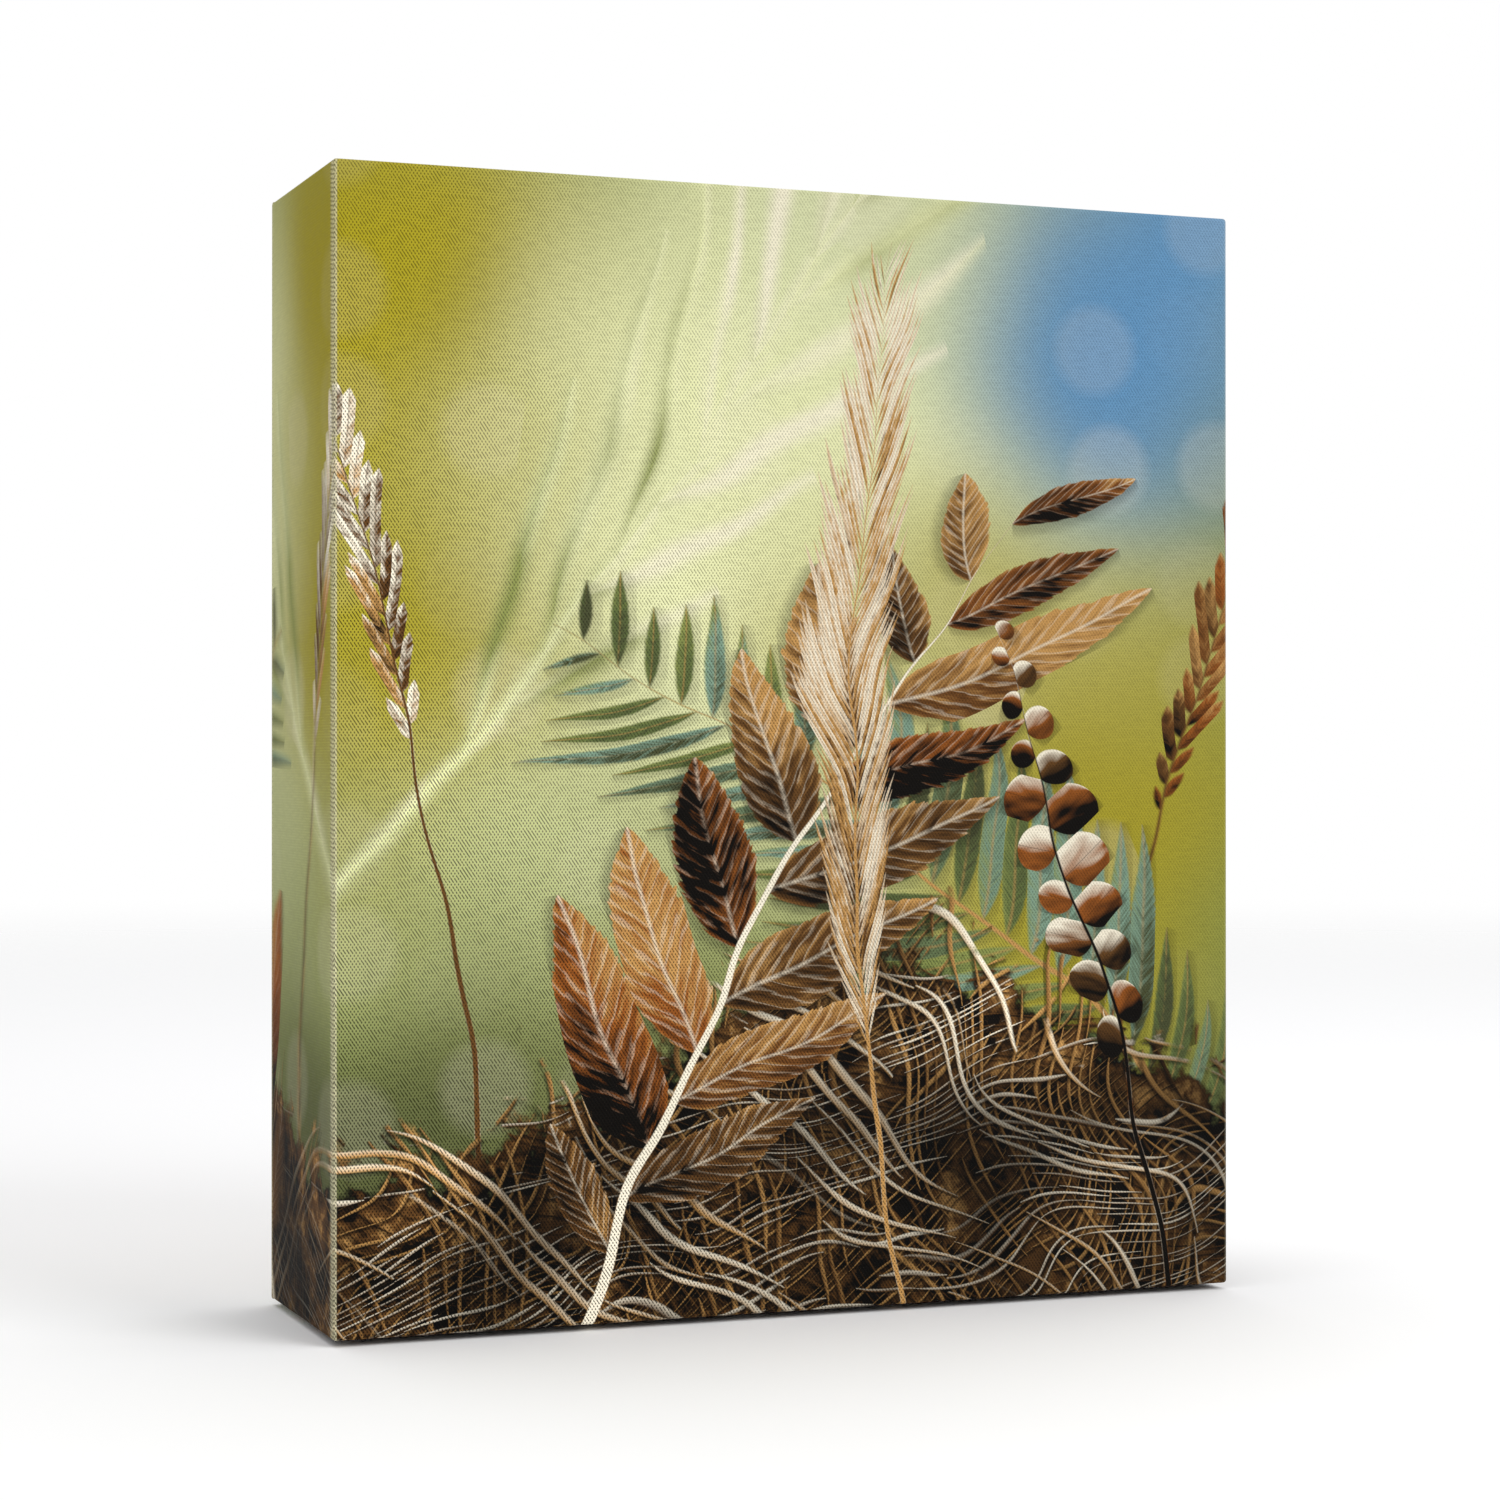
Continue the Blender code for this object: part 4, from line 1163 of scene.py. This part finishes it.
def metal_material(name, colour, rough, streaks, depth):
    """Thin steel, drawn or rolled: fine streaks along the strip, a slight cloudiness in the zinc,
    and a soft, broken shine. The streaks are given per millimetre, along each axis."""
    made, tree = new_material(name)
    place = place_in_mm(tree)
    drawn = node(tree, "VectorMath", [place, streaks], "MULTIPLY")
    lines = node(tree, "TexNoise", {"Vector": drawn, "Scale": 1.0, "Detail": 3.0})
    cloud = node(tree, "TexNoise", {"Vector": place, "Scale": 0.32, "Detail": 4.0})
    cloud = node(tree, "Math", [lines, 0.5, cloud], "MULTIPLY_ADD")
    dark = rgba([c * 0.74 for c in colour])
    share = node(tree, "MapRange", [cloud, 0.55, 0.95])
    tone = node(tree, "Mix", {0: share, 6: dark, 7: rgba(colour)}, **IN_COLOUR)
    shine = node(tree, "Math", [lines, 0.3, rough - 0.15], "MULTIPLY_ADD")
    bump = node(tree, "Bump", {"Strength": 0.25, "Distance": depth, "Height": lines})
    shader = node(
        tree,
        "BsdfPrincipled",
        {"Base Color": tone, "Metallic": 1.0, "Roughness": shine, "Normal": bump},
    )
    return finish_material(made, shader, colour)


class CANVASPRINT_OT_fasteners(bpy.types.Operator):
    """Gives the staples their bright wire and the V-nails their oiled sheet steel"""

    bl_idname = "canvas_print.fasteners"
    bl_label = "Staples and V-nails"

    def execute(self, context):
        fitting = context.scene.canvas_fitting
        wire = metal_material("galvanised_wire", fitting.wire, 0.34, (3.0, 3.0, 3.0), 0.03 * MM)
        sheet = metal_material("oiled_steel_sheet", fitting.sheet, 0.42, (0.6, 0.3, 0.6), 0.04 * MM)
        for name, obj in NODES.items():
            if name.startswith("staple_"):
                dress(obj, wire)
                soften_edges(obj)
            elif name.startswith("v_nail_"):
                dress(obj, sheet)
        return {"FINISHED"}


class CANVASPRINT_OT_hanger(bpy.types.Operator):
    """Gives the sawtooth hanger and its nails their zinc plating"""

    bl_idname = "canvas_print.hanger"
    bl_label = "Sawtooth hanger"

    def execute(self, context):
        fitting = context.scene.canvas_fitting
        streaks = (0.12, 3.0, 6.0)
        plate = metal_material("zinc_plated_steel", fitting.plate, 0.30, streaks, 0.04 * MM)
        for name in ("sawtooth_hanger", "hanger_nail_left", "hanger_nail_right"):
            dress(NODES[name], plate)
        soften_edges(NODES["sawtooth_hanger"])
        return {"FINISHED"}


def floor_material(studio):
    """Seamless white paper: plain and dull, fading into the white background far from the block."""
    made, tree = new_material("seamless_paper")
    spot = node(tree, "TexCoord", out="Object")
    far = node(tree, "VectorMath", [spot], "LENGTH", out="Value")
    fade = node(tree, "MapRange", [far, studio.floor_radius * 0.2, studio.floor_radius], **EASED)
    tooth = node(tree, "TexNoise", {"Vector": spot, "Scale": 2500.0, "Detail": 2.0})
    bump = node(tree, "Bump", {"Strength": 0.05, "Distance": 0.05 * MM, "Height": tooth})
    paper = node(
        tree,
        "BsdfPrincipled",
        {
            "Base Color": rgba(studio.floor),
            "Roughness": 0.85,
            "Normal": bump,
            "Specular IOR Level": 0.2,
        },
    )
    clear = node(tree, "BsdfTransparent")
    shader = node(tree, "MixShader", [fade, paper, clear])
    return finish_material(made, shader, studio.floor)


def softbox(name, side, power, place, target):
    """A square lamp at a place, turned to its target."""
    lamp = bpy.data.lights.new(name, "AREA")
    lamp.shape = "SQUARE"
    lamp.size = side
    lamp.energy = power
    made = bpy.data.objects.new(name, lamp)
    bpy.context.scene.collection.objects.link(made)
    made.location = place
    made.rotation_euler = (Vector(target) - Vector(place)).to_track_quat("-Z", "Y").to_euler()


def lay_floor(studio):
    """A wide disc just under the block. It belongs to the studio, not to the print."""
    bpy.ops.mesh.primitive_circle_add(
        vertices=96, radius=studio.floor_radius, fill_type="NGON", location=(0, 0, -0.2 * MM)
    )
    floor = bpy.context.object
    floor.name = "studio_floor"
    floor.data.materials.append(floor_material(studio))


def white_surround(studio):
    """Even white light from all round, with pure white behind the block."""
    world = bpy.data.worlds.new("white_surround")
    bpy.context.scene.world = world
    world.use_nodes = True
    tree = world.node_tree
    tree.nodes.clear()
    seen = node(tree, "LightPath", out="Is Camera Ray")
    strength = node(tree, "MapRange", [seen, 0.0, 1.0, studio.sky_light, 1.0])
    light = node(tree, "Background", [(1, 1, 1, 1), strength])
    output = tree.nodes.new("ShaderNodeOutputWorld")
    tree.links.new(light, output.inputs["Surface"])


# The camera as fitted to the block's corners: its yaw and how far it is tipped up, in degrees, and
# how far it is to the right of, behind and below the middle of the left fold, in heights.
YAW, PITCH = 21.05, 0.20
EYE_RIGHT, EYE_BACK, EYE_BELOW = 0.3517, 2.7285, 0.0102


def set_camera(studio):
    """The photograph's camera. The view is shown without a film-like tone curve."""
    scene = bpy.context.scene
    half_x, half_z, _, middle = block_size()
    yaw, pitch = math.radians(YAW), math.radians(PITCH)
    right = Vector((math.cos(yaw), -math.sin(yaw), 0))
    ahead = Vector((math.sin(yaw), math.cos(yaw), 0))
    corner = middle + Vector((-half_x, 0, 0))
    height = 2 * half_z
    camera = bpy.data.cameras.new("camera")
    camera.sensor_width = 36.0
    camera.lens = studio.lens
    camera.clip_start = 0.01
    eye = bpy.data.objects.new("camera", camera)
    scene.collection.objects.link(eye)
    eye.location = corner + right * EYE_RIGHT * height - ahead * EYE_BACK * height
    eye.location.z -= EYE_BELOW * height
    eye.rotation_euler = (math.pi / 2 + pitch, 0.0, -yaw)
    scene.camera = eye
    scene.view_settings.view_transform = "Standard"


class CANVASPRINT_OT_studio(bpy.types.Operator):
    """Sets up the pale floor, the soft light and the camera of the photograph"""

    bl_idname = "canvas_print.studio"
    bl_label = "Studio"

    def execute(self, context):
        studio, middle = context.scene.canvas_studio, block_size()[3]
        lay_floor(studio)
        white_surround(studio)
        softbox("key_softbox", 0.7, studio.key_power, (0.55, -0.85, 0.75), middle)
        softbox("overhead_softbox", 1.6, studio.top_power, (0.1, 0.2, 1.5), middle)
        set_camera(studio)
        return {"FINISHED"}


class CANVASPRINT_PT_sidebar(bpy.types.Panel):
    """Lists the steps that build the print, and their settings"""

    bl_label = "Canvas print"
    bl_idname = "CANVASPRINT_PT_sidebar"
    bl_space_type = "VIEW_3D"
    bl_region_type = "UI"
    bl_category = "Canvas print"

    def draw(self, context):
        for step, settings in STEPS:
            box = self.layout.box()
            box.operator(step.bl_idname)
            group = getattr(context.scene, settings)
            for name in group.bl_rna.properties.keys():
                if name not in ("name", "rna_type"):
                    box.prop(group, name)


SETTINGS = {
    "canvas_cloth": ClothSettings,
    "canvas_picture": PrintSettings,
    "canvas_wood": WoodSettings,
    "canvas_fitting": FittingSettings,
    "canvas_studio": StudioSettings,
}
STEPS = (
    (CANVASPRINT_OT_threads, "canvas_cloth"),
    (CANVASPRINT_OT_cloth, "canvas_picture"),
    (CANVASPRINT_OT_bars, "canvas_wood"),
    (CANVASPRINT_OT_fasteners, "canvas_fitting"),
    (CANVASPRINT_OT_hanger, "canvas_fitting"),
    (CANVASPRINT_OT_studio, "canvas_studio"),
)


def register():
    for group in SETTINGS.values():
        bpy.utils.register_class(group)
    for step, _ in STEPS:
        bpy.utils.register_class(step)
    bpy.utils.register_class(CANVASPRINT_PT_sidebar)
    for name, group in SETTINGS.items():
        setattr(bpy.types.Scene, name, PointerProperty(type=group))


def unregister():
    for name in SETTINGS:
        delattr(bpy.types.Scene, name)
    bpy.utils.unregister_class(CANVASPRINT_PT_sidebar)
    for step, _ in reversed(STEPS):
        bpy.utils.unregister_class(step)
    for group in reversed(SETTINGS.values()):
        bpy.utils.unregister_class(group)


def main():
    register()
    bpy.ops.canvas_print.threads()
    bpy.ops.canvas_print.cloth()
    bpy.ops.canvas_print.bars()
    bpy.ops.canvas_print.fasteners()
    bpy.ops.canvas_print.hanger()
    bpy.ops.canvas_print.studio()


if __name__ == "__main__":
    main()
